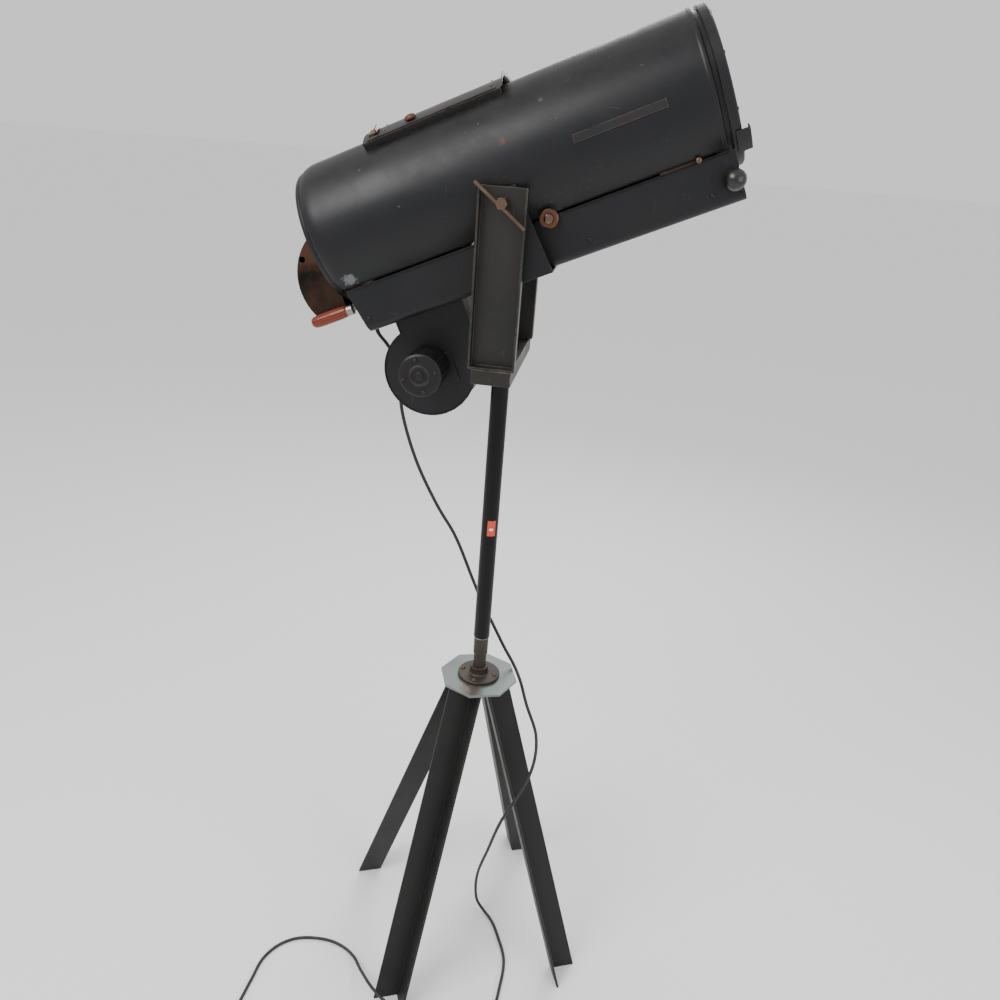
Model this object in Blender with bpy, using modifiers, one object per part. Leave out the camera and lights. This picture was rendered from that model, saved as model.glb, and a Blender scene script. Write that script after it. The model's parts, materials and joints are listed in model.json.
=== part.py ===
"""Tripod floor lamp: a theatre spotlight head in a yoke on a four-legged angle-iron stand.

Metres, +Z up. The origin is the pole's axis on the floor. +X is the way the head
points in plan, -Y is the side with the tilt clamp, the switch and the ball knob.
Head pieces are drawn in the head's own u (forward), w (sideways), n (up) axes.
"""

import math

import bmesh
import bpy
from mathutils import Matrix, Vector

# ---------------------------------------------------------------- driving sizes
GAP = 0.0003
PLATE_TOP = 0.7166
PLATE_THICK = 0.005
PLATE_R = 0.0831
PLATE_TURN = math.radians(-93.25)
LEG_AZIMUTHS = (67.2, 157.2, 247.2, 337.2)
LEG_WIDTH = 0.0566
LEG_THICK = 0.005
LEG_TOP_R = 0.0043
LEG_FOOT_R = 0.2515
FLANGE_R = 0.0445
FLANGE_THICK = 0.0067
HUB_R = 0.0185
HUB_TOP = PLATE_TOP + GAP + 0.024
SCREW_CIRCLE = 0.035
PIPE_R = 0.01335
PIPE_BORE = 0.0105
PIPE_TOP = 0.950
COUPLING_R = 0.0153
COUPLING_Z = (0.772, 0.8115)
BEARING_Z = (0.8118, 0.8135)
SLEEVE_R = 0.0167
SLEEVE_BORE = 0.0140
SLEEVE_Z = (0.8138, 1.4169)

CROSS_X = (-0.033, 0.035)
CROSS_Z = (1.3955, 1.4212)
YOKE_Y = 0.1479
YOKE_INNER = 0.1264
ARM_X = 0.0395
ARM_Z = (1.4215, 1.711)
ARM_SHEET = 0.0035
TRUNNION_Z = 1.6864
TILT_DEG = 24.2
BOLT_R = 0.0060
BOLT_HOLE = 0.0068
WASHER_R = 0.0160
CLAMP_END = 0.158
TBAR_LENGTH = 0.1057
TBAR_R = 0.0032
TBAR_ANGLE = math.radians(-38.0)

BARREL_R = 0.1226
BARREL_N = 0.047
BARREL_SHEET = 0.0016
BARREL_ARC = 136.3
BARREL_FRONT = 0.346
BARREL_SHOULDER = -0.303
BARREL_REAR = -0.326
BARREL_REAR_R = 0.1165
TRAY_W = 0.086
TRAY_N = (-0.123, -0.0434)
TRAY_FRONT = 0.355
TRAY_ROUND = 0.013
PIN_SLOT = 0.0014
CRADLE_W = 0.1215
CRADLE_THICK = 0.003
BEZEL_U = (0.354, 0.370)
BEZEL_NECK = 0.1165
BEZEL_BORE = 0.108
LID_U = (-0.198, 0.049)
LID_ARC = 31.0
LID_R = 0.1336
HATCH_U = (-0.185, 0.036)
HATCH_ARC = 26.0
HINGE_ARC = -32.6
HINGE_R = 0.1265
COVER_C = (-0.3085, -0.0256)
COVER_R = 0.0966
COVER_W = 0.055
COVER_N = -0.080
SCROLL_C = (-0.2464, -0.2295)
SCROLL_R = 0.0843
SCROLL_W = (-0.020, 0.050)
DUCT_U = (-0.272, -0.142)
DUCT_TOP = -0.1234
FAN_C = (-0.242, -0.220)
MOTOR_R = 0.0375
SWITCH_C = (0.056, -0.047)
BALL_C = (0.343, -0.087)
BALL_R = 0.0175
BALL_W = -0.105
CORD_R = 0.0035
GLAND_W = 0.061
COIL_C = (-0.400, -0.390)
COIL_R = 0.040

# Turned axes: the profile's length runs along U (forward) or towards the near side
UP = Matrix.Identity(4)
ALONG_U = Matrix(((0, 0, 1, 0), (0, 1, 0, 0), (-1, 0, 0, 0), (0, 0, 0, 1)))
NEAR = Matrix(((1, 0, 0, 0), (0, 0, -1, 0), (0, 1, 0, 0), (0, 0, 0, 1)))

for old in list(bpy.data.objects):
    bpy.data.objects.remove(old, do_unlink=True)
PARTS = bpy.data.collections.new("tripod_floor_lamp")
bpy.context.scene.collection.children.link(PARTS)
WORK = bpy.data.collections.new("work")
bpy.context.scene.collection.children.link(WORK)


# ---------------------------------------------------------------- groups
def empty(name, place, parent=None):
    """An empty on a joint's axis that carries the pieces which move together."""
    ob = bpy.data.objects.new(name, None)
    ob.empty_display_size = 0.05
    ob.location = place
    ob.parent = parent
    PARTS.objects.link(ob)
    return ob


def on_barrel(radius, arc, u):
    """A point at a radius round the barrel; the arc runs from the top to the near side."""
    a = math.radians(arc)
    return Vector((u, -radius * math.sin(a), BARREL_N + radius * math.cos(a)))


ROOT = empty("lamp", (0, 0, 0))
HEAD = empty("head", (0, 0, TRUNNION_Z), ROOT)
HEAD.rotation_euler = (0, math.radians(-TILT_DEG), 0)
PIN_PLACE = (0.300, -0.0825, -0.0433)
HATCH_PLACE = on_barrel(HINGE_R, HINGE_ARC, 0)
LID_KNOB_PLACE = on_barrel(LID_R + GAP, 23.0, -0.111)
GROUPS = {
    "stand": ROOT,
    "yoke": ROOT,
    "clamp": empty("clamp", (0, 0, TRUNNION_Z), ROOT),
    "head": HEAD,
    "hatch": empty("hatch", HATCH_PLACE, HEAD),
    "hatch_turn": empty("hatch_turn", LID_KNOB_PLACE, HEAD),
    "carriage": empty("carriage", PIN_PLACE, HEAD),
    "fan": empty("fan", (FAN_C[0], 0, FAN_C[1]), HEAD),
    "shutter": empty("shutter", (BALL_C[0], 0, BALL_C[1]), HEAD),
    "button": empty("button", (SWITCH_C[0], -0.098, SWITCH_C[1]), HEAD),
}


# ---------------------------------------------------------------- paints
def paint(name, colour, roughness, metallic=0.0):
    """A plain shader for one material."""
    mat = bpy.data.materials.new(name)
    mat.use_nodes = True
    shader = mat.node_tree.nodes["Principled BSDF"]
    shader.inputs["Base Color"].default_value = (*colour, 1.0)
    shader.inputs["Roughness"].default_value = roughness
    shader.inputs["Metallic"].default_value = metallic
    mat.diffuse_color = (*colour, 1.0)
    return mat


PAINT = {
    "black_paint": paint("black_paint", (0.030, 0.029, 0.028), 0.42),
    "yoke_paint": paint("yoke_paint", (0.022, 0.021, 0.021), 0.40),
    "stand_paint": paint("stand_paint", (0.026, 0.025, 0.025), 0.48),
    "worn_black": paint("worn_black", (0.050, 0.036, 0.028), 0.55),
    "bare_steel": paint("bare_steel", (0.36, 0.34, 0.31), 0.38, 1.0),
    "brown_steel": paint("brown_steel", (0.20, 0.13, 0.09), 0.50, 0.8),
    "copper_brown": paint("copper_brown", (0.42, 0.20, 0.11), 0.38, 0.9),
    "chrome": paint("chrome", (0.66, 0.66, 0.66), 0.12, 1.0),
    "red_wood": paint("red_wood", (0.45, 0.09, 0.035), 0.36),
    "glass": paint("glass", (0.72, 0.76, 0.76), 0.06),
    "bulb_glass": paint("bulb_glass", (0.80, 0.80, 0.77), 0.10),
    "ceramic": paint("ceramic", (0.70, 0.66, 0.58), 0.60),
    "mirror": paint("mirror", (0.78, 0.78, 0.77), 0.08, 1.0),
    "black_plastic": paint("black_plastic", (0.020, 0.020, 0.020), 0.30),
    "cord_rubber": paint("cord_rubber", (0.016, 0.016, 0.016), 0.62),
}


# ---------------------------------------------------------------- shape helpers
def scratch(bm):
    """A working object in the hidden collection."""
    mesh = bpy.data.meshes.new("work")
    bm.to_mesh(mesh)
    bm.free()
    ob = bpy.data.objects.new("work", mesh)
    ob.display_type = "WIRE"
    ob.hide_render = True
    WORK.objects.link(ob)
    return ob


def settled(ob):
    """The shape of an object with its modifiers, as a new bmesh; the object is removed."""
    depsgraph = bpy.context.evaluated_depsgraph_get()
    mesh = bpy.data.meshes.new_from_object(ob.evaluated_get(depsgraph))
    bm = bmesh.new()
    bm.from_mesh(mesh)
    bpy.data.meshes.remove(mesh)
    bpy.data.objects.remove(ob, do_unlink=True)
    return bm


def add(name, bm, group, colour, angle=32.0):
    """Make one named piece from a bmesh drawn in the group's frame."""
    base = GROUPS[group]
    if base.parent == HEAD:
        bm.transform(Matrix.Translation(-base.location))
    if group == "clamp":
        bm.transform(Matrix.Translation((0, 0, -TRUNNION_Z)))
    bmesh.ops.recalc_face_normals(bm, faces=bm.faces[:])
    if bm.calc_volume(signed=True) < 0:
        bmesh.ops.reverse_faces(bm, faces=bm.faces[:])
    mesh = bpy.data.meshes.new(name)
    bm.to_mesh(mesh)
    bm.free()
    mesh.materials.clear()
    mesh.materials.append(PAINT[colour])
    for face in mesh.polygons:
        face.material_index = 0
    mesh.shade_smooth()
    mesh.set_sharp_from_angle(angle=math.radians(angle))
    ob = bpy.data.objects.new(name, mesh)
    ob.parent = base
    PARTS.objects.link(ob)
    return ob


def block(low, high):
    """A box between two corners."""
    bm = bmesh.new()
    bmesh.ops.create_cube(bm, size=1.0)
    size = [b - a for a, b in zip(low, high)]
    middle = [(a + b) / 2 for a, b in zip(low, high)]
    bmesh.ops.scale(bm, vec=size, verts=bm.verts)
    bmesh.ops.translate(bm, vec=middle, verts=bm.verts)
    return bm


def turned(profile, steps, turn=UP, place=(0, 0, 0)):
    """A solid of revolution; a profile that never reaches the axis closes on itself."""
    bm = bmesh.new()
    verts = [bm.verts.new((r, 0, z)) for r, z in profile]
    edges = [bm.edges.new(pair) for pair in zip(verts, verts[1:])]
    if min(r for r, z in profile) > 0:
        edges.append(bm.edges.new((verts[-1], verts[0])))
    bmesh.ops.spin(
        bm, geom=verts + edges, cent=(0, 0, 0), axis=(0, 0, 1), angle=math.tau, steps=steps, use_merge=True
    )
    bmesh.ops.remove_doubles(bm, verts=bm.verts[:], dist=1e-6)
    bm.transform(Matrix.Translation(place) @ turn)
    return bm


def arc_block(profile, arc, steps):
    """A profile of (radius, u) swept round the barrel's axis between two arcs in degrees."""
    start = math.radians(arc[0] + 180)
    bm = bmesh.new()
    verts = [bm.verts.new((r * math.cos(start), r * math.sin(start), u)) for r, u in profile]
    face = bm.faces.new(verts)
    bmesh.ops.spin(
        bm,
        geom=[face],
        cent=(0, 0, 0),
        axis=(0, 0, 1),
        angle=math.radians(arc[1] - arc[0]),
        steps=steps,
    )
    bm.transform(Matrix.Translation((0, 0, BARREL_N)) @ ALONG_U)
    bmesh.ops.recalc_face_normals(bm, faces=bm.faces[:])
    return bm


def prism(outline, low, high, turn=UP):
    """A flat outline pushed from one level to another along the turn's third axis."""
    bm = bmesh.new()
    face = bm.faces.new([bm.verts.new((x, y, low)) for x, y in outline])
    grown = bmesh.ops.extrude_face_region(bm, geom=[face])["geom"]
    moved = [g for g in grown if isinstance(g, bmesh.types.BMVert)]
    bmesh.ops.translate(bm, vec=(0, 0, high - low), verts=moved)
    bm.transform(turn)
    bmesh.ops.recalc_face_normals(bm, faces=bm.faces[:])
    return bm


def extent(bm):
    """The diagonal of a shape's box."""
    low = [min(v.co[k] for v in bm.verts) for k in range(3)]
    high = [max(v.co[k] for v in bm.verts) for k in range(3)]
    return math.dist(low, high)


def sheet(bm, thick, inward=True):
    """Give an open surface a sheet's thickness, inside or outside it."""
    bmesh.ops.recalc_face_normals(bm, faces=bm.faces[:])
    before = extent(bm)
    tries = []
    for offset in (-1.0, 1.0):
        ob = scratch(bm.copy())
        mod = ob.modifiers.new("sheet", "SOLIDIFY")
        mod.thickness = thick
        mod.offset = offset
        mod.use_even_offset = True
        mod.use_quality_normals = True
        tries.append(settled(ob))
    bm.free()
    tries.sort(key=extent)
    chosen = tries[0] if inward else tries[1]
    (tries[1] if inward else tries[0]).free()
    if inward and extent(chosen) > before + thick:
        raise ValueError("the sheet grew outwards")
    return chosen


def joined(bm, other, operation):
    """Cut one closed shape from another, or unite the two."""
    bmesh.ops.recalc_face_normals(bm, faces=bm.faces[:])
    bmesh.ops.recalc_face_normals(other, faces=other.faces[:])
    ob = scratch(bm)
    tool = scratch(other)
    mod = ob.modifiers.new("join", "BOOLEAN")
    mod.operation = operation
    mod.solver = "EXACT"
    mod.object = tool
    result = settled(ob)
    bpy.data.objects.remove(tool, do_unlink=True)
    return result


def cut(bm, *tools):
    """Take each tool away."""
    for tool in tools:
        bm = joined(bm, tool, "DIFFERENCE")
    return bm


def unite(bm, *others):
    """Make one body of several."""
    for other in others:
        bm = joined(bm, other, "UNION")
    return bm


def softened(bm, width, segments=2, angle=50.0):
    """Round the sharp edges a little."""
    ob = scratch(bm)
    mod = ob.modifiers.new("edge", "BEVEL")
    mod.width = width
    mod.segments = segments
    mod.limit_method = "ANGLE"
    mod.angle_limit = math.radians(angle)
    return settled(ob)


def rod(radius, low, high, turn=UP, place=(0, 0, 0), steps=16):
    """A plain round bar along the turn's third axis."""
    return turned([(0, high), (radius, high), (radius, low), (0, low)], steps, turn, place)


def ring(inner, outer, low, high, turn=UP, place=(0, 0, 0), steps=20, edge=0.0004):
    """A tube with broken outer edges."""
    profile = [
        (inner, high),
        (outer - edge, high),
        (outer, high - edge),
        (outer, low + edge),
        (outer - edge, low),
        (inner, low),
    ]
    return turned(profile, steps, turn, place)


def hexagon(radius):
    """Corners of a hexagon."""
    return [(radius * math.cos(k * math.pi / 3), radius * math.sin(k * math.pi / 3)) for k in range(6)]


def circle_arc(centre, radius, start, end, steps):
    """Points along an arc, angles in degrees."""
    points = []
    for k in range(steps + 1):
        a = math.radians(start + (end - start) * k / steps)
        points.append((centre[0] + radius * math.cos(a), centre[1] + radius * math.sin(a)))
    return points


# ---------------------------------------------------------------- stand
def base_plate():
    """The octagonal top plate the four legs are welded under."""
    outline = [
        (PLATE_R * math.cos(PLATE_TURN + k * math.pi / 4), PLATE_R * math.sin(PLATE_TURN + k * math.pi / 4))
        for k in range(8)
    ]
    plate = softened(prism(outline, PLATE_TOP - PLATE_THICK, PLATE_TOP), 0.0006)
    holes = [rod(0.0029, PLATE_TOP - 0.01, PLATE_TOP + 0.01, place=spot) for spot in screw_spots()]
    add("base_plate", cut(plate, *holes), "stand", "stand_paint")


def screw_spots():
    """Where the floor flange's four screws stand."""
    spots = []
    for k in range(4):
        a = math.radians(-8 + 90 * k)
        spots.append((SCREW_CIRCLE * math.cos(a), SCREW_CIRCLE * math.sin(a), 0))
    return spots


def leg(number, azimuth):
    """One raking angle-iron leg, heel inwards, cut level at the floor and under the plate."""
    a = math.radians(azimuth)
    first = Vector((math.cos(a + math.pi / 4), math.sin(a + math.pi / 4)))
    second = Vector((math.cos(a - math.pi / 4), math.sin(a - math.pi / 4)))
    section = [
        Vector((0, 0)),
        first * LEG_WIDTH,
        first * LEG_WIDTH + second * LEG_THICK,
        (first + second) * LEG_THICK,
        second * LEG_WIDTH + first * LEG_THICK,
        second * LEG_WIDTH,
    ]
    top = PLATE_TOP - PLATE_THICK - GAP
    bm = prism([tuple(p) for p in section], 0.0, top)
    out = Vector((math.cos(a), math.sin(a), 0))
    for vert in bm.verts:
        reach = LEG_FOOT_R + (LEG_TOP_R - LEG_FOOT_R) * vert.co.z / PLATE_TOP
        vert.co += out * reach
    add(f"leg_{number}", softened(bm, 0.0008, 1, 30.0), "stand", "stand_paint")


def floor_flange():
    """The cast pipe flange: a round foot with four screw holes and a threaded hub."""
    low = PLATE_TOP + GAP
    profile = [
        (PIPE_R + GAP, HUB_TOP),
        (HUB_R + 0.0002, HUB_TOP),
        (HUB_R + 0.0008, HUB_TOP - 0.001),
        (HUB_R + 0.0008, HUB_TOP - 0.005),
        (HUB_R, HUB_TOP - 0.006),
        (HUB_R + 0.0008, low + FLANGE_THICK + 0.002),
        (HUB_R + 0.003, low + FLANGE_THICK),
        (FLANGE_R - 0.0015, low + FLANGE_THICK),
        (FLANGE_R, low + FLANGE_THICK - 0.0015),
        (FLANGE_R, low),
        (PIPE_R + GAP, low),
    ]
    holes = [rod(0.0029, PLATE_TOP - 0.01, PLATE_TOP + 0.02, place=spot) for spot in screw_spots()]
    add("floor_flange", cut(turned(profile, 28), *holes), "stand", "black_paint")


def flange_screws():
    """Four pan-head screws through the flange and the plate."""
    seat = PLATE_TOP + GAP + FLANGE_THICK + GAP
    low = PLATE_TOP - PLATE_THICK - 0.004
    for number, spot in enumerate(screw_spots(), 1):
        profile = [
            (0, seat + 0.003),
            (0.0028, seat + 0.0028),
            (0.0045, seat + 0.0014),
            (0.0045, seat),
            (0.0025, seat),
            (0.0025, low),
            (0, low),
        ]
        screw = turned(profile, 14, place=spot)
        corner = (spot[0] - 0.006, spot[1] - 0.0005, seat + 0.002)
        slot = block(corner, (spot[0] + 0.006, spot[1] + 0.0005, seat + 0.01))
        add(f"flange_screw_{number}", cut(screw, slot), "stand", "bare_steel")


def stand_pipes():
    """The nipple, its coupling and the ring the sleeve turns on."""
    low = PLATE_TOP + GAP
    add("nipple_pipe", ring(PIPE_BORE, PIPE_R, low, PIPE_TOP), "stand", "worn_black")
    add("pipe_coupling", ring(PIPE_R + GAP, COUPLING_R, *COUPLING_Z, edge=0.001), "stand", "black_paint")
    add("bearing_ring", ring(PIPE_R + GAP, 0.0163, *BEARING_Z), "stand", "bare_steel")


# ---------------------------------------------------------------- yoke
def open_box(low, high, gone):
    """A box's surface without the faces that look along the given directions."""
    bm = block(low, high)
    bm.faces.ensure_lookup_table()
    bm.normal_update()
    away = [f for f in bm.faces if any(f.normal.dot(Vector(g)) > 0.9 for g in gone)]
    bmesh.ops.delete(bm, geom=away, context="FACES")
    return bm


def pole_sleeve():
    """The long pole that turns on the nipple and carries the yoke."""
    add("pole_sleeve", ring(SLEEVE_BORE, SLEEVE_R, *SLEEVE_Z, steps=28), "yoke", "yoke_paint")


def yoke_cross_member():
    """The folded pan across the bottom of the yoke, open downwards."""
    low = (CROSS_X[0], -YOKE_Y, CROSS_Z[0])
    high = (CROSS_X[1], YOKE_Y, CROSS_Z[1])
    pan = sheet(open_box(low, high, [(0, 0, -1)]), 0.004)
    add("yoke_cross_member", softened(pan, 0.0012), "yoke", "yoke_paint")


def yoke_arm(name, side):
    """One upright: a folded channel, open outwards and at the top, with the trunnion hole."""
    near, far = sorted((side * YOKE_INNER, side * YOKE_Y))
    channel = open_box((-ARM_X, near, ARM_Z[0]), (ARM_X, far, ARM_Z[1]), [(0, side, 0), (0, 0, 1)])
    shell = sheet(channel, ARM_SHEET)
    shell = softened(shell, 0.0010)
    hole = rod(BOLT_HOLE, -0.2, 0.2, NEAR, (0, 0, TRUNNION_Z), 20)
    if side > 0:
        hole.transform(Matrix.Translation((0, 0.2, 0)))
    else:
        hole.transform(Matrix.Translation((0, -0.2, 0)))
    add(name, cut(shell, hole), "yoke", "yoke_paint")


def tilt_pieces():
    """The washers either side of the head and the plain bolt on the far side."""
    centre = (0, 0, TRUNNION_Z)
    add("tilt_washer_near", ring(0.0065, WASHER_R, 0.1248, 0.1261, NEAR, centre), "yoke", "brown_steel")
    add("tilt_washer_far", ring(0.0065, WASHER_R, -0.1261, -0.1248, NEAR, centre), "yoke", "brown_steel")
    head = prism(hexagon(0.0098), -0.1376, -0.1302, Matrix.Translation(centre) @ NEAR)
    bolt = rod(BOLT_R, -0.1340, -0.117, NEAR, centre, 18)
    add("tilt_bolt_far", unite(softened(head, 0.0006, 1), bolt), "yoke", "brown_steel")


def tilt_clamp():
    """The near clamp: a hexagonal boss on a threaded shank with a T-bar across its end."""
    frame = Matrix.Translation((0, 0, TRUNNION_Z)) @ NEAR
    boss = softened(prism(hexagon(0.0098), 0.1302, CLAMP_END, frame), 0.0008, 1)
    shank = rod(BOLT_R, 0.117, 0.134, NEAR, (0, 0, TRUNNION_Z), 18)
    half = TBAR_LENGTH / 2
    profile = [
        (0, half),
        (TBAR_R - 0.0008, half),
        (TBAR_R, half - 0.0008),
        (TBAR_R, 0.0008 - half),
        (TBAR_R - 0.0008, -half),
        (0, -half),
    ]
    lean = Matrix.Rotation(math.pi / 2 - TBAR_ANGLE, 4, "Y")
    aside = Vector((math.sin(TBAR_ANGLE), 0, -math.cos(TBAR_ANGLE))) * 0.004
    place = Vector((0, -CLAMP_END + 0.0045, TRUNNION_Z)) + aside
    bar = turned(profile, 16, lean, place)
    add("tilt_clamp_handle", unite(boss, shank, bar), "clamp", "brown_steel")


# ---------------------------------------------------------------- head body
def barrel_shell():
    """The barrel: one rolled sheet open below, with a rear shoulder and a front bead."""
    profile = [
        (0.1222, BARREL_FRONT),
        (0.1236, BARREL_FRONT - 0.0012),
        (0.1242, BARREL_FRONT - 0.004),
        (0.1236, BARREL_FRONT - 0.0068),
        (BARREL_R, BARREL_FRONT - 0.008),
        (BARREL_R, BARREL_SHOULDER),
        (0.1222, BARREL_SHOULDER - 0.008),
        (0.1208, BARREL_SHOULDER - 0.015),
        (0.1188, BARREL_SHOULDER - 0.020),
        (BARREL_REAR_R, BARREL_REAR),
    ]
    start = math.radians(180 - BARREL_ARC)
    bm = bmesh.new()
    verts = [bm.verts.new((r * math.cos(start), r * math.sin(start), z)) for r, z in profile]
    edges = [bm.edges.new(pair) for pair in zip(verts, verts[1:])]
    bmesh.ops.spin(
        bm,
        geom=verts + edges,
        cent=(0, 0, 0),
        axis=(0, 0, 1),
        angle=math.radians(2 * BARREL_ARC),
        steps=38,
    )
    bm.transform(Matrix.Translation((0, 0, BARREL_N)) @ ALONG_U)
    shell = sheet(bm, BARREL_SHEET)
    box = [(0.10, HATCH_U[0]), (0.14, HATCH_U[0]), (0.14, HATCH_U[1]), (0.10, HATCH_U[1])]
    add("barrel_shell", cut(shell, arc_block(box, (-HATCH_ARC, HATCH_ARC), 8)), "head", "black_paint")


def rear_cap():
    """The dished disc that closes the barrel's back, with a rolled bead."""
    profile = [
        (0, -0.3264),
        (0.1146, -0.3264),
        (0.1156, -0.3285),
        (0.1154, -0.3325),
        (0.1138, -0.3355),
        (0.1118, -0.3360),
        (0.1098, -0.3345),
        (0.1090, -0.3310),
        (0, -0.3310),
    ]
    add("rear_cap", turned(profile, 40, ALONG_U, (0, 0, BARREL_N)), "head", "black_paint")


def tray_rear(n):
    """The tray's raked back edge at a height."""
    return -0.315 + (n + 0.047) / -0.077 * 0.0133


def tray():
    """The trough under the barrel: two walls, a floor with rolled corners and a raked back."""
    r = TRAY_ROUND
    low, high = TRAY_N
    left = circle_arc((-TRAY_W + r, low + r), r, 180, 270, 5)
    right = circle_arc((TRAY_W - r, low + r), r, 270, 360, 5)
    section = [(-TRAY_W, high - PIN_SLOT)] + left + right + [(TRAY_W, high)]
    bm = bmesh.new()
    rear = [bm.verts.new((tray_rear(n), w, n)) for w, n in section]
    front = [bm.verts.new((TRAY_FRONT, w, n)) for w, n in section]
    for k in range(len(section) - 1):
        bm.faces.new((rear[k], rear[k + 1], front[k + 1], front[k]))
    bm.faces.new(rear)
    shell = sheet(bm, BARREL_SHEET)
    air = block((-0.262, -0.010, low - 0.01), (-0.152, 0.040, low + 0.01))
    shaft = rod(0.0048, 0.06, 0.11, NEAR, (BALL_C[0], 0, BALL_C[1]))
    cable = rod(0.0060, -0.05, 0.05, ALONG_U, (-0.307, GLAND_W, -0.105))
    add("tray", cut(shell, air, shaft, cable), "head", "black_paint")


def cradle():
    """The strap under the tray whose two tapering sides hang on the yoke's bolts."""
    side = [(-0.026, 0.020), (0.026, 0.020), (0.029, -0.014)]
    side += [(0.039, -0.1233), (-0.039, -0.1233), (-0.029, -0.014)]
    bm = bmesh.new()
    near = [bm.verts.new((u, -CRADLE_W, n)) for u, n in side]
    far = [bm.verts.new((u, CRADLE_W, n)) for u, n in side]
    bm.faces.new(near)
    bm.faces.new(far[::-1])
    bm.faces.new((near[4], near[3], far[3], far[4]))
    strap = softened(sheet(bm, CRADLE_THICK, inward=False), 0.0008)
    hole = rod(BOLT_HOLE, -0.2, 0.2, NEAR, (0, 0, 0), 20)
    add("cradle", cut(strap, hole), "head", "black_paint")


def front_bezel():
    """The front ring that holds the lens."""
    profile = [
        (BEZEL_BORE, BEZEL_U[1] - 0.001),
        (BEZEL_BORE + 0.001, BEZEL_U[1]),
        (BARREL_R - 0.0025, BEZEL_U[1]),
        (BARREL_R, BEZEL_U[1] - 0.0025),
        (BARREL_R, BEZEL_U[0] + 0.0015),
        (BARREL_R - 0.0015, BEZEL_U[0]),
        (BEZEL_NECK, BEZEL_U[0]),
        (BEZEL_NECK, 0.3475),
        (0.1200, 0.3440),
        (0.1200, 0.3300),
        (BEZEL_BORE, 0.3300),
    ]
    add("front_bezel", turned(profile, 44, ALONG_U, (0, 0, BARREL_N)), "head", "black_paint")


def front_lens():
    """The plano-convex front lens inside the bezel."""
    edge = BEZEL_BORE - GAP
    profile = [(0, 0.3500), (0.040, 0.3493), (0.075, 0.3474), (edge - 0.001, 0.3445)]
    profile += [(edge, 0.3435), (edge, 0.3400), (0, 0.3400)]
    add("front_lens", turned(profile, 44, ALONG_U, (0, 0, BARREL_N)), "head", "glass")


def gel_clips():
    """Two hooked runners that hold a colour frame in front of the bezel."""
    r = BARREL_R + GAP
    profile = [(r, 0.3600), (r + 0.0022, 0.3600), (r + 0.0022, 0.3820)]
    profile += [(r - 0.008, 0.3820), (r - 0.008, 0.3798), (r, 0.3798)]
    for name, arc in (("gel_clip_near", (124, 144)), ("gel_clip_far", (-144, -124))):
        add(name, softened(arc_block(profile, arc, 6), 0.0005, 1), "head", "black_paint")


def optics():
    """The reflector on its stem, the lamp holder and the tubular lamp."""
    centre = (0, 0, BARREL_N)
    bowl = [
        (0, -0.2270),
        (0.030, -0.2240),
        (0.055, -0.2150),
        (0.074, -0.2000),
        (0.085, -0.1820),
        (0.0868, -0.1825),
        (0.0760, -0.2015),
        (0.0562, -0.2175),
        (0.030, -0.2270),
        (0.009, -0.2295),
        (0.009, -0.3261),
        (0, -0.3261),
    ]
    add("reflector", turned(bowl, 24, ALONG_U, centre), "head", "mirror")
    foot = block((-0.140, -0.030, TRAY_N[0] + BARREL_SHEET + GAP), (-0.080, 0.030, -0.092))
    neck = rod(0.019, -0.095, -0.0703, place=(-0.110, 0, 0))
    add("lamp_socket", unite(softened(foot, 0.002), neck), "head", "ceramic")
    bulb = [
        (0, 0.088),
        (0.008, 0.086),
        (0.0155, 0.079),
        (0.0190, 0.068),
        (0.0195, 0.050),
        (0.0195, -0.045),
        (0.0150, -0.056),
        (0.0150, -0.070),
        (0, -0.070),
    ]
    add("lamp_bulb", turned(bulb, 24, place=(-0.110, 0, 0)), "head", "bulb_glass")


def rails():
    """The two ledges the lens carriage slides on."""
    inner = TRAY_W - BARREL_SHEET - GAP
    add("rail_near", block((0.0, -inner, -0.078), (0.330, -0.068, -0.075)), "head", "bare_steel")
    add("rail_far", block((0.0, 0.068, -0.078), (0.330, inner, -0.075)), "head", "bare_steel")


def switch_bezel():
    """The copper ring and stem that carry the push button."""
    profile = [
        (0.0034, 0.0985),
        (0.0100, 0.0985),
        (0.0105, 0.0992),
        (0.0140, 0.0992),
        (0.0155, 0.0980),
        (0.0155, 0.0962),
        (0.0145, 0.0955),
        (0.0055, 0.0955),
        (0.0055, 0.0863),
        (0.0034, 0.0863),
    ]
    place = (SWITCH_C[0], 0, SWITCH_C[1])
    add("switch_bezel", turned(profile, 24, NEAR, place), "head", "copper_brown")


def switch_button():
    """The chrome push button on its stem."""
    profile = [
        (0, 0.1056),
        (0.0050, 0.1053),
        (0.0074, 0.1044),
        (0.0080, 0.1032),
        (0.0080, 0.1014),
        (0.0030, 0.1014),
        (0.0030, 0.0895),
        (0, 0.0895),
    ]
    place = (SWITCH_C[0], 0, SWITCH_C[1])
    add("switch_button", turned(profile, 24, NEAR, place), "button", "chrome")


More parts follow.
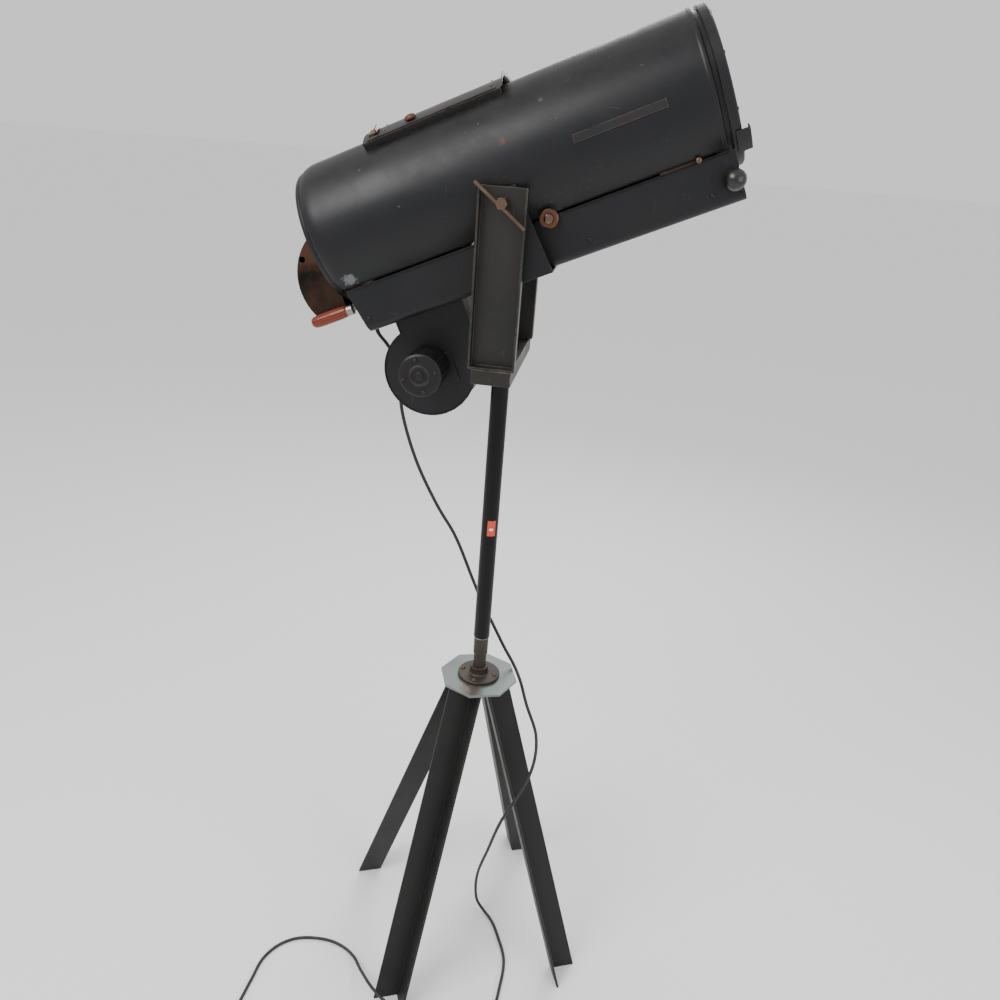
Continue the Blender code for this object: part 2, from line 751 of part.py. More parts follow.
def rear_cover():
    """The half drum on the back of the barrel, open towards it."""
    c_u, c_n = COVER_C
    face_u = -0.3364
    top = math.degrees(math.acos((face_u - c_u) / COVER_R))
    bottom = 360 - math.degrees(math.acos(-math.sqrt(COVER_R**2 - (COVER_N - c_n) ** 2) / COVER_R))
    outline = circle_arc(COVER_C, COVER_R, top, bottom, 18) + [(face_u, COVER_N)]
    bm = bmesh.new()
    near = [bm.verts.new((u, -COVER_W, n)) for u, n in outline]
    far = [bm.verts.new((u, COVER_W, n)) for u, n in outline]
    bm.faces.new(near)
    bm.faces.new(far[::-1])
    for k in range(len(outline) - 1):
        bm.faces.new((near[k], near[k + 1], far[k + 1], far[k]))
    shell = sheet(bm, 0.0015)
    hole = rod(0.0055, 0.04, 0.07, NEAR, (-0.379, 0, 0.030))
    add("rear_cover", cut(shell, hole), "head", "copper_brown")


def handle():
    """The wooden grip and the ferrule with the rod that screws into the tray's back."""
    place = (0, -0.0675, -0.077)
    rod_profile = [
        (0, -0.3110),
        (0.0040, -0.3110),
        (0.0040, -0.3200),
        (0.0085, -0.3205),
        (0.0092, -0.3220),
        (0.0092, -0.3310),
        (0.0085, -0.3327),
        (0, -0.3327),
    ]
    add("handle_ferrule", turned(rod_profile, 24, ALONG_U, place), "head", "bare_steel")
    grip = [
        (0, -0.3330),
        (0.0086, -0.3330),
        (0.0098, -0.3360),
        (0.0108, -0.3450),
        (0.0110, -0.3620),
        (0.0110, -0.3850),
        (0.0102, -0.3960),
        (0.0078, -0.4010),
        (0, -0.4020),
    ]
    add("handle_grip", turned(grip, 24, ALONG_U, place), "head", "red_wood")


def gland_frame():
    """Where the cord leaves the tray's raked back, its third axis outwards."""
    out = Vector((-0.077, 0, -0.0133)).normalized()
    side = Vector((0, 1, 0))
    third = side.cross(out)
    turn = Matrix((third, side, out)).transposed().to_4x4()
    return turn, Vector((tray_rear(-0.105), GLAND_W, -0.105))


def cord_gland():
    """The ribbed bushing in the tray's back."""
    turn, place = gland_frame()
    profile = [
        (0, 0.0070),
        (0.0062, 0.0070),
        (0.0068, 0.0062),
        (0.0068, 0.0045),
        (0.0095, 0.0040),
        (0.0100, 0.0032),
        (0.0100, GAP),
        (0.0052, GAP),
        (0.0052, -0.0060),
        (0, -0.0060),
    ]
    add("cord_gland", turned(profile, 20, turn, place), "head", "black_plastic")


def trim_ornament():
    """A plain raised strip on the barrel's near side."""
    r = BARREL_R + GAP
    profile = [(r, 0.130), (r + 0.0013, 0.130), (r + 0.0013, 0.276), (r, 0.276)]
    add("trim_ornament", softened(arc_block(profile, (85.5, 91.5), 3), 0.0004, 1), "head", "bare_steel")


def hatch_hinge():
    """The lid's hinge rod on two posts."""
    bar = rod(0.0020, -0.190, 0.038, ALONG_U, on_barrel(HINGE_R, HINGE_ARC, 0), 12)
    low = BARREL_R + GAP
    posts = []
    for u in (-0.186, 0.022):
        profile = [(low, u), (HINGE_R + 0.001, u), (HINGE_R + 0.001, u + 0.012), (low, u + 0.012)]
        posts.append(arc_block(profile, (HINGE_ARC - 1.8, HINGE_ARC + 0.3), 2))
    add("hatch_hinge", unite(bar, *posts), "head", "bare_steel")


# ---------------------------------------------------------------- blower
def scroll_outline():
    """The blower's side view from the duct's left edge round the scroll to its right edge."""
    c_u, c_n = SCROLL_C
    entry = math.degrees(math.acos((DUCT_U[0] - c_u) / SCROLL_R))
    points = [(DUCT_U[0], DUCT_TOP)] + circle_arc(SCROLL_C, SCROLL_R, entry, 270, 16)
    end = math.degrees(math.atan2(-0.185 - c_n, DUCT_U[1] - c_u))
    reach = math.hypot(DUCT_U[1] - c_u, -0.185 - c_n)
    for k in range(1, 10):
        t = k / 9
        a = math.radians(-90 + (end + 90) * t)
        r = SCROLL_R + (reach - SCROLL_R) * t**4
        points.append((c_u + r * math.cos(a), c_n + r * math.sin(a)))
    return points + [(DUCT_U[1], DUCT_TOP)]


def blower_housing():
    """The scroll: two cheeks and a wall, open at the top into the tray."""
    outline = scroll_outline()
    bm = bmesh.new()
    near = [bm.verts.new((u, SCROLL_W[0], n)) for u, n in outline]
    far = [bm.verts.new((u, SCROLL_W[1], n)) for u, n in outline]
    bm.faces.new(near)
    bm.faces.new(far[::-1])
    for k in range(len(outline) - 1):
        bm.faces.new((near[k], near[k + 1], far[k + 1], far[k]))
    shell = sheet(bm, BARREL_SHEET)
    intake = rod(0.042, -0.06, -0.04, NEAR, (FAN_C[0], 0, FAN_C[1]), 32)
    shaft = rod(0.0060, 0.01, 0.03, NEAR, (FAN_C[0], 0, FAN_C[1]))
    add("blower_housing", cut(shell, intake, shaft), "head", "black_paint")


def impeller():
    """A toothed cup on a shaft."""
    outline = []
    for k in range(20):
        for step, r in ((0.0, 0.056), (0.3, 0.056), (0.5, 0.047), (0.8, 0.047)):
            a = (k + step) * math.tau / 20
            outline.append((FAN_C[0] + r * math.cos(a), FAN_C[1] + r * math.sin(a)))
    wheel = prism(outline, -0.044, 0.010, NEAR)
    place = (FAN_C[0], 0, FAN_C[1])
    cup = cut(wheel, rod(0.041, -0.06, 0.004, NEAR, place, 24))
    add("impeller", unite(cup, rod(0.0040, 0.0, 0.0202, NEAR, place, 12)), "fan", "bare_steel")


def motor():
    """The fan motor, its end cap and the plate it is screwed to."""
    place = (FAN_C[0], 0, FAN_C[1])
    body = [
        (0, 0.0979),
        (MOTOR_R - 0.001, 0.0979),
        (MOTOR_R, 0.0969),
        (MOTOR_R, 0.0290),
        (MOTOR_R - 0.003, 0.0232),
        (0, 0.0232),
    ]
    add("motor_body", turned(body, 28, NEAR, place), "head", "black_paint")
    cap = [
        (0, 0.1062),
        (0.0068, 0.1058),
        (0.0080, 0.1045),
        (0.0080, 0.1030),
        (0.0350, 0.1030),
        (0.0385, 0.1010),
        (0.0385, 0.0982),
        (0, 0.0982),
    ]
    add("motor_cap", turned(cap, 28, NEAR, place), "head", "black_paint")
    plate = block((-0.286, -0.0229, -0.262), (-0.197, -0.0203, -0.2065))
    plate = cut(plate, rod(0.006, 0.01, 0.03, NEAR, place))
    add("motor_bracket", softened(plate, 0.0005, 1), "head", "black_paint")


# ---------------------------------------------------------------- moving pieces in the head
def hatch_lid():
    """The curved lamp-access lid, its front edge turned up."""
    low = BARREL_R + GAP
    near = math.radians(LID_ARC)
    rows = [(low, LID_U[0]), (LID_R, LID_U[0]), (LID_R, LID_U[1] - 0.006)]
    rows += [(LID_R + 0.0025, LID_U[1] - 0.0015), (LID_R + 0.008, LID_U[1])]
    steps = 14
    bm = bmesh.new()
    grid = []
    for r, u in rows:
        line = []
        for k in range(steps + 1):
            a = -near + 2 * near * k / steps
            line.append(bm.verts.new((u, -r * math.sin(a), BARREL_N + r * math.cos(a))))
        grid.append(line)
    for j in range(len(rows) - 1):
        for k in range(steps):
            bm.faces.new((grid[j][k], grid[j][k + 1], grid[j + 1][k + 1], grid[j + 1][k]))
    for k, sign in ((0, -1), (steps, 1)):
        foot = on_barrel(low, sign * LID_ARC, LID_U[1] - 0.006)
        corner = bm.verts.new(foot)
        bm.faces.new((grid[0][k], grid[1][k], grid[2][k], corner))
    add("hatch_lid", sheet(bm, 0.0014), "hatch", "black_paint")


def hatch_knob():
    """The oval turn knob near the lid's free edge."""
    profile = [(0, 0.0085), (0.0045, 0.0080), (0.0085, 0.0060), (0.0100, 0.0035)]
    profile += [(0.0085, 0.0012), (0.0050, 0), (0, 0)]
    bm = turned(profile, 20)
    bmesh.ops.scale(bm, vec=(1.1, 0.75, 1.0), verts=bm.verts)
    turn = Matrix.Rotation(math.radians(23.0), 4, "X")
    bm.transform(Matrix.Translation(LID_KNOB_PLACE) @ turn)
    add("hatch_knob", bm, "hatch_turn", "copper_brown")


def lens_carriage():
    """The sliding ring that holds the focus lens, its feet, side arm and pin."""
    body = ring(0.078, 0.085, 0.238, 0.252, ALONG_U, (0, 0, BARREL_N), 32)
    shank = rod(0.0010, 0.078, 0.0890, NEAR, (PIN_PLACE[0], 0, PIN_PLACE[2]), 10)
    pin = turned(
        [(0, 0.0925), (0.0030, 0.0922), (0.0045, 0.0912), (0.0045, 0.0888), (0, 0.0888)],
        18,
        NEAR,
        (PIN_PLACE[0], 0, PIN_PLACE[2]),
    )
    pieces = [
        block((0.240, -0.081, -0.0747), (0.250, -0.070, 0.012)),
        block((0.240, 0.070, -0.0747), (0.250, 0.081, 0.012)),
        block((0.232, -0.082, -0.0747), (0.258, -0.069, -0.0710)),
        block((0.232, 0.069, -0.0747), (0.258, 0.082, -0.0710)),
        block((0.246, -0.0805, -0.0500), (0.305, -0.0775, -0.0425)),
        shank,
        pin,
    ]
    add("lens_carriage", unite(body, *pieces), "carriage", "bare_steel")


def carriage_lens():
    """The lens in the carriage."""
    profile = [(0, 0.2500), (0.030, 0.2493), (0.055, 0.2474), (0.0777, 0.2440), (0.0777, 0.2410), (0, 0.2410)]
    add("carriage_lens", turned(profile, 32, ALONG_U, (0, 0, BARREL_N)), "carriage", "glass")


def shutter():
    """The flap that rises to dim the beam and the ball knob that turns it."""
    u, n = BALL_C
    blade = block((u - 0.078, -0.062, n - 0.001), (u, 0.062, n + 0.001))
    axle = rod(0.0040, -0.0835, 0.0640, NEAR, (u, 0, n), 14)
    add("shutter_blade", unite(blade, axle), "shutter", "worn_black")
    profile = []
    for k in range(11):
        a = math.pi * (1 - k / 10 * 0.925)
        profile.append((BALL_R * math.sin(a), -BALL_W - BALL_R * math.cos(a)))
    profile[0] = (0, profile[0][1])
    profile += [(0.0040, 0.0640 + GAP), (0, 0.0640 + GAP)]
    add("shutter_knob", turned(profile, 22, NEAR, (u, 0, n)), "shutter", "black_plastic")


# ---------------------------------------------------------------- cord
def curve_through(points):
    """A smooth curve through a cord's route, as close points."""
    route = [Vector(p) for p in points]
    ends = [route[0] * 2 - route[1]] + route + [route[-1] * 2 - route[-2]]
    line = []
    for k in range(1, len(ends) - 2):
        p0, p1, p2, p3 = ends[k - 1 : k + 3]
        knots = [0.0]
        for a, b in ((p0, p1), (p1, p2), (p2, p3)):
            knots.append(knots[-1] + math.sqrt((b - a).length))
        t0, t1, t2, t3 = knots
        for step in range(24):
            t = t1 + (t2 - t1) * step / 24
            a1 = p0 * ((t1 - t) / (t1 - t0)) + p1 * ((t - t0) / (t1 - t0))
            a2 = p1 * ((t2 - t) / (t2 - t1)) + p2 * ((t - t1) / (t2 - t1))
            a3 = p2 * ((t3 - t) / (t3 - t2)) + p3 * ((t - t2) / (t3 - t2))
            b1 = a1 * ((t2 - t) / (t2 - t0)) + a2 * ((t - t0) / (t2 - t0))
            b2 = a2 * ((t3 - t) / (t3 - t1)) + a3 * ((t - t1) / (t3 - t1))
            line.append(b1 * ((t2 - t) / (t2 - t1)) + b2 * ((t - t1) / (t2 - t1)))
    return line + [route[-1]]


def thinned(line, turn_deg, stretch):
    """Fewer points along a line: close where it bends, far apart where it is straight."""
    kept = [line[0], line[1]]
    last = 1
    for k in range(2, len(line) - 2):
        before = (line[last + 1] - line[last]).normalized()
        after = (line[k + 1] - line[k]).normalized()
        bend = math.degrees(before.angle(after))
        if bend > turn_deg or (line[k] - kept[-1]).length > stretch:
            kept.append(line[k])
            last = k
    if (kept[-1] - line[-2]).length < 0.006:
        kept.pop()
    return kept + [line[-2], line[-1]]


def length_of(line):
    """Length along a line."""
    return sum((b - a).length for a, b in zip(line, line[1:]))


def tube(points, radius):
    """A round cord along some points, as a closed shape."""
    curve = bpy.data.curves.new("work", "CURVE")
    curve.dimensions = "3D"
    spline = curve.splines.new("POLY")
    spline.points.add(len(points) - 1)
    for slot, p in zip(spline.points, points):
        slot.co = (*p, 1.0)
    curve.bevel_depth = radius
    curve.bevel_resolution = 2
    curve.use_fill_caps = True
    ob = bpy.data.objects.new("work", curve)
    WORK.objects.link(ob)
    bm = settled(ob)
    bmesh.ops.remove_doubles(bm, verts=bm.verts[:], dist=0.0001)
    return bm


def gland_tip():
    """The gland's outer end and its direction in the lamp's frame."""
    turn, place = gland_frame()
    head = Matrix.Translation((0, 0, TRUNNION_Z)) @ Matrix.Rotation(math.radians(-TILT_DEG), 4, "Y")
    out = (head.to_3x3() @ turn.to_3x3().col[2]).normalized()
    return head @ place + out * (0.0070 + GAP), out


def cord():
    """The supply cord: head to pole, pole to floor, and the spare length in a coil."""
    tip, out = gland_tip()
    floor = CORD_R + GAP
    upper = [
        tip,
        tip + out * 0.009,
        (-0.2560, 0.0615, 1.4375),
        (-0.2520, 0.0620, 1.4180),
        (-0.2350, 0.0625, 1.3980),
        (-0.2160, 0.0625, 1.3700),
        (-0.2080, 0.0620, 1.3300),
        (-0.2000, 0.0615, 1.2640),
        (-0.1680, 0.0600, 1.1660),
        (-0.1200, 0.0600, 1.0720),
        (-0.0790, 0.0590, 1.0090),
        (-0.0330, 0.0500, 0.9140),
        (-0.0080, 0.0430, 0.8650),
    ]
    lower = [
        (0.0160, 0.0440, 0.8200),
        (0.0450, 0.0460, 0.7640),
        (0.0720, 0.0430, 0.7200),
        (0.0900, 0.0260, 0.6930),
        (0.1090, -0.0010, 0.6570),
        (0.1370, -0.0210, 0.5980),
        (0.1420, -0.0520, 0.5650),
        (0.1340, -0.0760, 0.5270),
        (0.1120, -0.0980, 0.4800),
        (0.0850, -0.0920, 0.4080),
        (0.0580, -0.0520, 0.2800),
        (0.0340, -0.0010, 0.1500),
        (0.0300, 0.0140, 0.0850),
        (0.0360, 0.0210, 0.0350),
        (0.0540, 0.0180, 0.0090),
        (0.0760, -0.0020, floor),
        (0.1040, -0.0540, floor),
        (0.1230, -0.1050, floor),
        (0.1240, -0.1710, floor),
        (0.1100, -0.2600, floor),
        (0.0450, -0.3280, floor),
        (-0.0200, -0.3320, 0.0120),
        (-0.0780, -0.3100, 0.0380),
        (-0.1450, -0.2700, 0.0460),
        (-0.1900, -0.2150, 0.0240),
        (-0.2300, -0.1620, floor),
        (-0.2870, -0.1390, floor),
        (-0.3610, -0.1460, floor),
        (-0.4000, -0.1720, floor),
        (-0.4230, -0.2130, floor),
        (-0.4280, -0.2700, floor),
        (-0.4250, -0.3478, floor),
    ]
    whole = [Vector((p.x, p.y, max(p.z, floor))) for p in curve_through(upper + lower)]
    split = 24 * (len(upper) - 1)
    first = whole[: split + 1]
    second = whole[split:]
    second[0] = second[0] + (second[1] - second[0]).normalized() * GAP
    print("cord upper m", round(length_of(first), 3), "lower m", round(length_of(second), 3))
    add("cord_upper", tube(thinned(first, 14, 0.075), CORD_R), "yoke", "cord_rubber", 60)
    add("cord_lower", tube(thinned(second, 14, 0.080), CORD_R), "stand", "cord_rubber", 60)


def cord_end():
    """The coiled spare length and its two-pin plug."""
    x, y = COIL_C
    r = COIL_R
    top = 0.0003 + 4 * CORD_R
    profile = [
        (r - 0.005, top),
        (r + 0.005, top),
        (r + 0.007, top - 0.003),
        (r + 0.007, 0.0033),
        (r + 0.005, 0.0003),
        (r - 0.005, 0.0003),
        (r - 0.007, 0.0033),
        (r - 0.007, top - 0.003),
    ]
    add("cord_coil", turned(profile, 28, place=(x, y, 0)), "stand", "cord_rubber", 60)
    side = ALONG_U
    level = 0.0123
    body = [
        (0, 0.0800),
        (0.0105, 0.0800),
        (0.0120, 0.0785),
        (0.0120, 0.0640),
        (0.0085, 0.0580),
        (0.0085, 0.0540),
        (0.0045, 0.0478),
        (0, 0.0478),
    ]
    place = (x, y, level)
    add("plug_body", turned(body, 20, side, place), "stand", "black_plastic")
    for number, shift in ((1, -0.0064), (2, 0.0064)):
        low = (x + 0.0803, y + shift - 0.0008, level - 0.0032)
        high = (x + 0.0960, y + shift + 0.0008, level + 0.0032)
        add(f"plug_prong_{number}", block(low, high), "stand", "bare_steel")


# ---------------------------------------------------------------- build
base_plate()
for order, bearing in enumerate(LEG_AZIMUTHS, 1):
    leg(order, bearing)
floor_flange()
flange_screws()
stand_pipes()
pole_sleeve()
yoke_cross_member()
yoke_arm("yoke_arm_near", -1)
yoke_arm("yoke_arm_far", 1)
tilt_pieces()
tilt_clamp()
barrel_shell()
rear_cap()
tray()
cradle()
front_bezel()
front_lens()
gel_clips()
optics()
rails()
switch_bezel()
switch_button()
rear_cover()
handle()
cord_gland()
trim_ornament()
hatch_hinge()
blower_housing()
impeller()
motor()
hatch_lid()
hatch_knob()
lens_carriage()
carriage_lens()
shutter()
cord()
cord_end()
bpy.data.collections.remove(WORK)
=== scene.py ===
# %% [markdown]
# # A theatre spotlight made into a floor lamp
# The lamp is a sheet-metal spotlight head that hangs in a welded yoke. The yoke turns on a pipe, and the
# pipe is screwed to a plate on four raking angle-iron legs. The solid model is loaded first.

import json
import math
import random

import bmesh
import bpy
from mathutils import Matrix, Vector


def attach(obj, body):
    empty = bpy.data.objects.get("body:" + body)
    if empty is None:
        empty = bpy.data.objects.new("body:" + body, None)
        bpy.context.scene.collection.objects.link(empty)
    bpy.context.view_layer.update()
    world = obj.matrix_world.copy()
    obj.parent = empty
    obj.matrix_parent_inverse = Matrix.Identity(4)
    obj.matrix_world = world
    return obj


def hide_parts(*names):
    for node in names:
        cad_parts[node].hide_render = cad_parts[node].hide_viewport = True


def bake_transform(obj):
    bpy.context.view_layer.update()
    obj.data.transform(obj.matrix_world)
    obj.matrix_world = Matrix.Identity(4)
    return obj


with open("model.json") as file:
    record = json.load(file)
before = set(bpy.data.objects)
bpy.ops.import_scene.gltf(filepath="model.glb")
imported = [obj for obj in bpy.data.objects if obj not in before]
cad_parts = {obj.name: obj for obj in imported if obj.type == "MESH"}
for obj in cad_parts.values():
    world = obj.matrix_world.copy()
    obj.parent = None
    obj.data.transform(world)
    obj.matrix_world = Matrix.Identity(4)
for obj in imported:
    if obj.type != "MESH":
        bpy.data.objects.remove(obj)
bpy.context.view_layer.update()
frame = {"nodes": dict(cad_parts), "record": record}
nodes = frame["nodes"]
print("solid pieces:", len(nodes))

# %% [markdown]
# The camera stands a little to the right of the lamp at eye height and looks down. Its axes
# are written out from a heading, a downward angle and a small roll, which is how a hand-held
# camera is described, and they become the three columns of its matrix.

# %% Camera
HEADING, DOWN, ROLL = -0.1152, 0.405, 0.079
EYE = Vector((0.1924, -1.5218, 1.7841))
ahead = Vector((math.sin(HEADING) * math.cos(DOWN), math.cos(HEADING) * math.cos(DOWN), -math.sin(DOWN)))
level = Vector((math.cos(HEADING), -math.sin(HEADING), 0))
upright = level.cross(ahead)
right = math.cos(ROLL) * level + math.sin(ROLL) * upright
up = math.cos(ROLL) * upright - math.sin(ROLL) * level
camera_data = bpy.data.cameras.new("camera")
camera_data.lens = 30.6
camera_data.sensor_width = 36.0
camera_data.clip_start = 0.05
camera = bpy.data.objects.new("camera", camera_data)
bpy.context.scene.collection.objects.link(camera)
camera.matrix_world = Matrix.Translation(EYE) @ Matrix((right, up, -ahead)).transposed().to_4x4()
bpy.context.scene.camera = camera
print("camera at", [round(c, 3) for c in EYE])

# %% [markdown]
# The supply cord is one soft rubber lead. It leaves the back of the head, hangs behind the
# blower, passes behind the pole, leans on the plate's edge, goes round a leg and lies on the
# floor. The length that is put away ends in a small coil with the plug. A smooth curve is
# laid through a few places it passes, and a round tube follows that curve. It is split
# behind the pole, because the upper length moves with the yoke and the lower one doesn't.

# %% Smooth line through the cord's places
CORD_R = 0.0035
FLOOR_Z = CORD_R + 0.0003
TRUNNION = Vector((0, 0, 1.6864))
HEAD_LIFT = 24.2
HEAD = Matrix.Translation(TRUNNION) @ Matrix.Rotation(math.radians(-HEAD_LIFT), 4, "Y")
BARREL_RISE = 0.047


STEPS = 10


def smooth_line(places, steps=STEPS):
    """Centripetal curve through every place."""
    route = [Vector(p) for p in places]
    ends = [route[0] * 2 - route[1]] + route + [route[-1] * 2 - route[-2]]
    line = []
    for k in range(1, len(ends) - 2):
        p0, p1, p2, p3 = ends[k - 1 : k + 3]
        knots = [0.0]
        for a, b in ((p0, p1), (p1, p2), (p2, p3)):
            knots.append(knots[-1] + math.sqrt((b - a).length))
        t0, t1, t2, t3 = knots
        for step in range(steps):
            t = t1 + (t2 - t1) * step / steps
            a1 = p0 * ((t1 - t) / (t1 - t0)) + p1 * ((t - t0) / (t1 - t0))
            a2 = p1 * ((t2 - t) / (t2 - t1)) + p2 * ((t - t1) / (t2 - t1))
            a3 = p2 * ((t3 - t) / (t3 - t2)) + p3 * ((t - t2) / (t3 - t2))
            b1 = a1 * ((t2 - t) / (t2 - t0)) + a2 * ((t - t0) / (t2 - t0))
            b2 = a2 * ((t3 - t) / (t3 - t1)) + a3 * ((t - t1) / (t3 - t1))
            line.append(b1 * ((t2 - t) / (t2 - t1)) + b2 * ((t - t1) / (t2 - t1)))
    return line + [route[-1]]


def length_of(line):
    """Length along a line."""
    return sum((b - a).length for a, b in zip(line, line[1:]))


def tube(name, line, radius, taper=None, ring=3):
    """A round tube along a line, as a mesh; taper gives each point its share of the radius."""
    curve = bpy.data.curves.new(name, "CURVE")
    curve.dimensions = "3D"
    spline = curve.splines.new("POLY")
    spline.points.add(len(line) - 1)
    for k, (slot, p) in enumerate(zip(spline.points, line)):
        slot.co = (*p, 1.0)
        slot.radius = taper[k] if taper else 1.0
    curve.bevel_depth = radius
    curve.bevel_resolution = ring
    curve.use_fill_caps = True
    maker = bpy.data.objects.new(name + "_line", curve)
    bpy.context.scene.collection.objects.link(maker)
    mesh = bpy.data.meshes.new_from_object(maker.evaluated_get(bpy.context.evaluated_depsgraph_get()))
    bpy.data.objects.remove(maker, do_unlink=True)
    bm = bmesh.new()
    bm.from_mesh(mesh)
    bmesh.ops.remove_doubles(bm, verts=bm.verts[:], dist=1e-5)
    bm.to_mesh(mesh)
    bm.free()
    mesh.shade_smooth()
    mesh.set_sharp_from_angle(angle=math.radians(50))
    mesh.name = name
    ob = bpy.data.objects.new(name, mesh)
    bpy.context.scene.collection.objects.link(ob)
    return ob


# %% Where the cord runs
gland_out = Vector((-0.077, 0, -0.0133)).normalized()
TRAY_TOP = -0.047
GLAND_W, GLAND_N = 0.061, -0.105
gland_at = Vector((-0.315 + (GLAND_N - TRAY_TOP) / -0.077 * 0.0133, GLAND_W, GLAND_N))
tip = HEAD @ (gland_at + gland_out * 0.0073)
tip_out = (HEAD.to_3x3() @ gland_out).normalized()
hanging = [
    tip,
    tip + tip_out * 0.009,
    (-0.2560, 0.0615, 1.4375),
    (-0.2520, 0.0620, 1.4180),
    (-0.2350, 0.0625, 1.3980),
    (-0.2160, 0.0625, 1.3700),
    (-0.2080, 0.0620, 1.3300),
    (-0.2000, 0.0615, 1.2640),
    (-0.1680, 0.0600, 1.1660),
    (-0.1200, 0.0600, 1.0720),
    (-0.0790, 0.0590, 1.0090),
    (-0.0330, 0.0500, 0.9140),
    (-0.0080, 0.0430, 0.8650),
]
lying = [
    (0.0160, 0.0440, 0.8200),
    (0.0450, 0.0460, 0.7640),
    (0.0720, 0.0430, 0.7200),
    (0.0900, 0.0260, 0.6930),
    (0.1090, -0.0010, 0.6570),
    (0.1370, -0.0210, 0.5980),
    (0.1420, -0.0520, 0.5650),
    (0.1340, -0.0760, 0.5270),
    (0.1120, -0.0980, 0.4800),
    (0.0850, -0.0920, 0.4080),
    (0.0580, -0.0520, 0.2800),
    (0.0340, -0.0010, 0.1500),
    (0.0300, 0.0140, 0.0850),
    (0.0360, 0.0210, 0.0350),
    (0.0540, 0.0180, 0.0090),
    (0.0760, -0.0020, FLOOR_Z),
    (0.1040, -0.0540, FLOOR_Z),
    (0.1230, -0.1050, FLOOR_Z),
    (0.1240, -0.1710, FLOOR_Z),
    (0.1100, -0.2600, FLOOR_Z),
    (0.0450, -0.3280, FLOOR_Z),
    (-0.0200, -0.3320, 0.0120),
    (-0.0780, -0.3100, 0.0380),
    (-0.1450, -0.2700, 0.0460),
    (-0.1900, -0.2150, 0.0240),
    (-0.2300, -0.1620, FLOOR_Z),
    (-0.2870, -0.1390, FLOOR_Z),
    (-0.3610, -0.1460, FLOOR_Z),
    (-0.4000, -0.1720, FLOOR_Z),
    (-0.4230, -0.2130, FLOOR_Z),
    (-0.4280, -0.2700, FLOOR_Z),
    (-0.4330, -0.3400, FLOOR_Z),
]
COIL = Vector((-0.400, -0.390, 0))


def eased(t, low, high):
    """0 before low, 1 after high, smooth between."""
    s = min(max((t - low) / (high - low), 0.0), 1.0)
    return s * s * (3 - 2 * s)


coil = []
for turn in range(186, 984, 12):
    r = 0.0435 - 0.0070 * eased(turn, 480, 540) + 0.0035 * eased(turn, 805, 862)
    z = FLOOR_Z + 0.0072 * eased(turn, 805, 862)
    a = math.radians(turn)
    coil.append(COIL + Vector((r * math.cos(a), r * math.sin(a), z)))
tail = [
    (-0.3850, -0.4250, 0.0122),
    (-0.3720, -0.4090, 0.0123),
    (-0.3620, -0.3950, 0.0123),
    (-0.3515, -0.3900, 0.0123),
]
whole = [Vector((p.x, p.y, max(p.z, FLOOR_Z))) for p in smooth_line(hanging + lying + coil + tail)]
split = STEPS * (len(hanging) - 1)
upper_line = whole[: split + 1]
lower_line = whole[split:]
print("cord lengths", round(length_of(upper_line), 3), round(length_of(lower_line), 3))

# %% Make the two lengths of cord
upper_cord = tube("cord_hanging", upper_line, CORD_R)
lower_cord = tube("cord_lying", lower_line, CORD_R)
RELIEF_POINTS = 32
relief_line = whole[:RELIEF_POINTS]
relief = tube(
    "strain_relief",
    relief_line,
    0.0052,
    [1.0 - 0.27 * k / (RELIEF_POINTS - 1) for k in range(RELIEF_POINTS)],
)
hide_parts("cord_upper")
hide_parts("cord_lower", "cord_coil")
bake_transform(upper_cord)
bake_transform(lower_cord)
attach(relief, "head")
print("strain relief mm", round(1000 * length_of(relief_line)))

# %% [markdown]
# A plain pale floor and three large soft lamps light the lamp the way stock is lit
# in a shop: one broad light from the upper left, a weaker one from the right, and a little from
# behind to lift the dark edges. The floor and the sky behind it have the same pale colour.

# %% Floor, sky and lights
floor_mesh = bpy.data.meshes.new("floor")
FAR_OFF = 60
corners = [(-FAR_OFF, -FAR_OFF, 0), (FAR_OFF, -FAR_OFF, 0), (FAR_OFF, FAR_OFF, 0), (-FAR_OFF, FAR_OFF, 0)]
floor_mesh.from_pydata(corners, [], [(0, 1, 2, 3)])
floor = bpy.data.objects.new("floor", floor_mesh)
bpy.context.scene.collection.objects.link(floor)
floor_paint = bpy.data.materials.new("pale_floor")
floor_paint.use_nodes = True
floor_shader = floor_paint.node_tree.nodes["Principled BSDF"]
floor_shader.inputs["Base Color"].default_value = (0.93, 0.93, 0.92, 1)
floor_shader.inputs["Roughness"].default_value = 0.85
floor.data.materials.append(floor_paint)
sky = bpy.data.worlds.new("sky")
sky.use_nodes = True
sky.node_tree.nodes["Background"].inputs["Color"].default_value = (0.93, 0.93, 0.94, 1)
sky.node_tree.nodes["Background"].inputs["Strength"].default_value = 1.0
bpy.context.scene.world = sky


def soft_light(name, place, aim, size, power):
    """A square soft lamp that looks at a point."""
    data = bpy.data.lights.new(name, "AREA")
    data.size = size
    data.energy = power
    ob = bpy.data.objects.new(name, data)
    ob.location = place
    ob.rotation_euler = (Vector(aim) - Vector(place)).to_track_quat("-Z", "Y").to_euler()
    bpy.context.scene.collection.objects.link(ob)


soft_light("key", (-1.6, -1.7, 3.2), (0, 0, 1.3), 1.6, 70)
soft_light("fill", (2.2, -1.4, 1.9), (0, 0, 1.2), 1.8, 22)
soft_light("rim", (0.4, 2.4, 2.8), (0, 0, 1.4), 1.6, 45)
print("lights", len(bpy.data.lights))

# %% [markdown]
# Most of the lamp is black enamel that has been knocked about for decades: bare metal shows
# along folded edges, fine scratches cross the flats, dust lies on what faces up, and the
# gloss is uneven. That is one effect with different values, so it is a node group. The edge
# mask compares the true surface direction with one that is rounded over a small radius: they
# only differ near an edge.

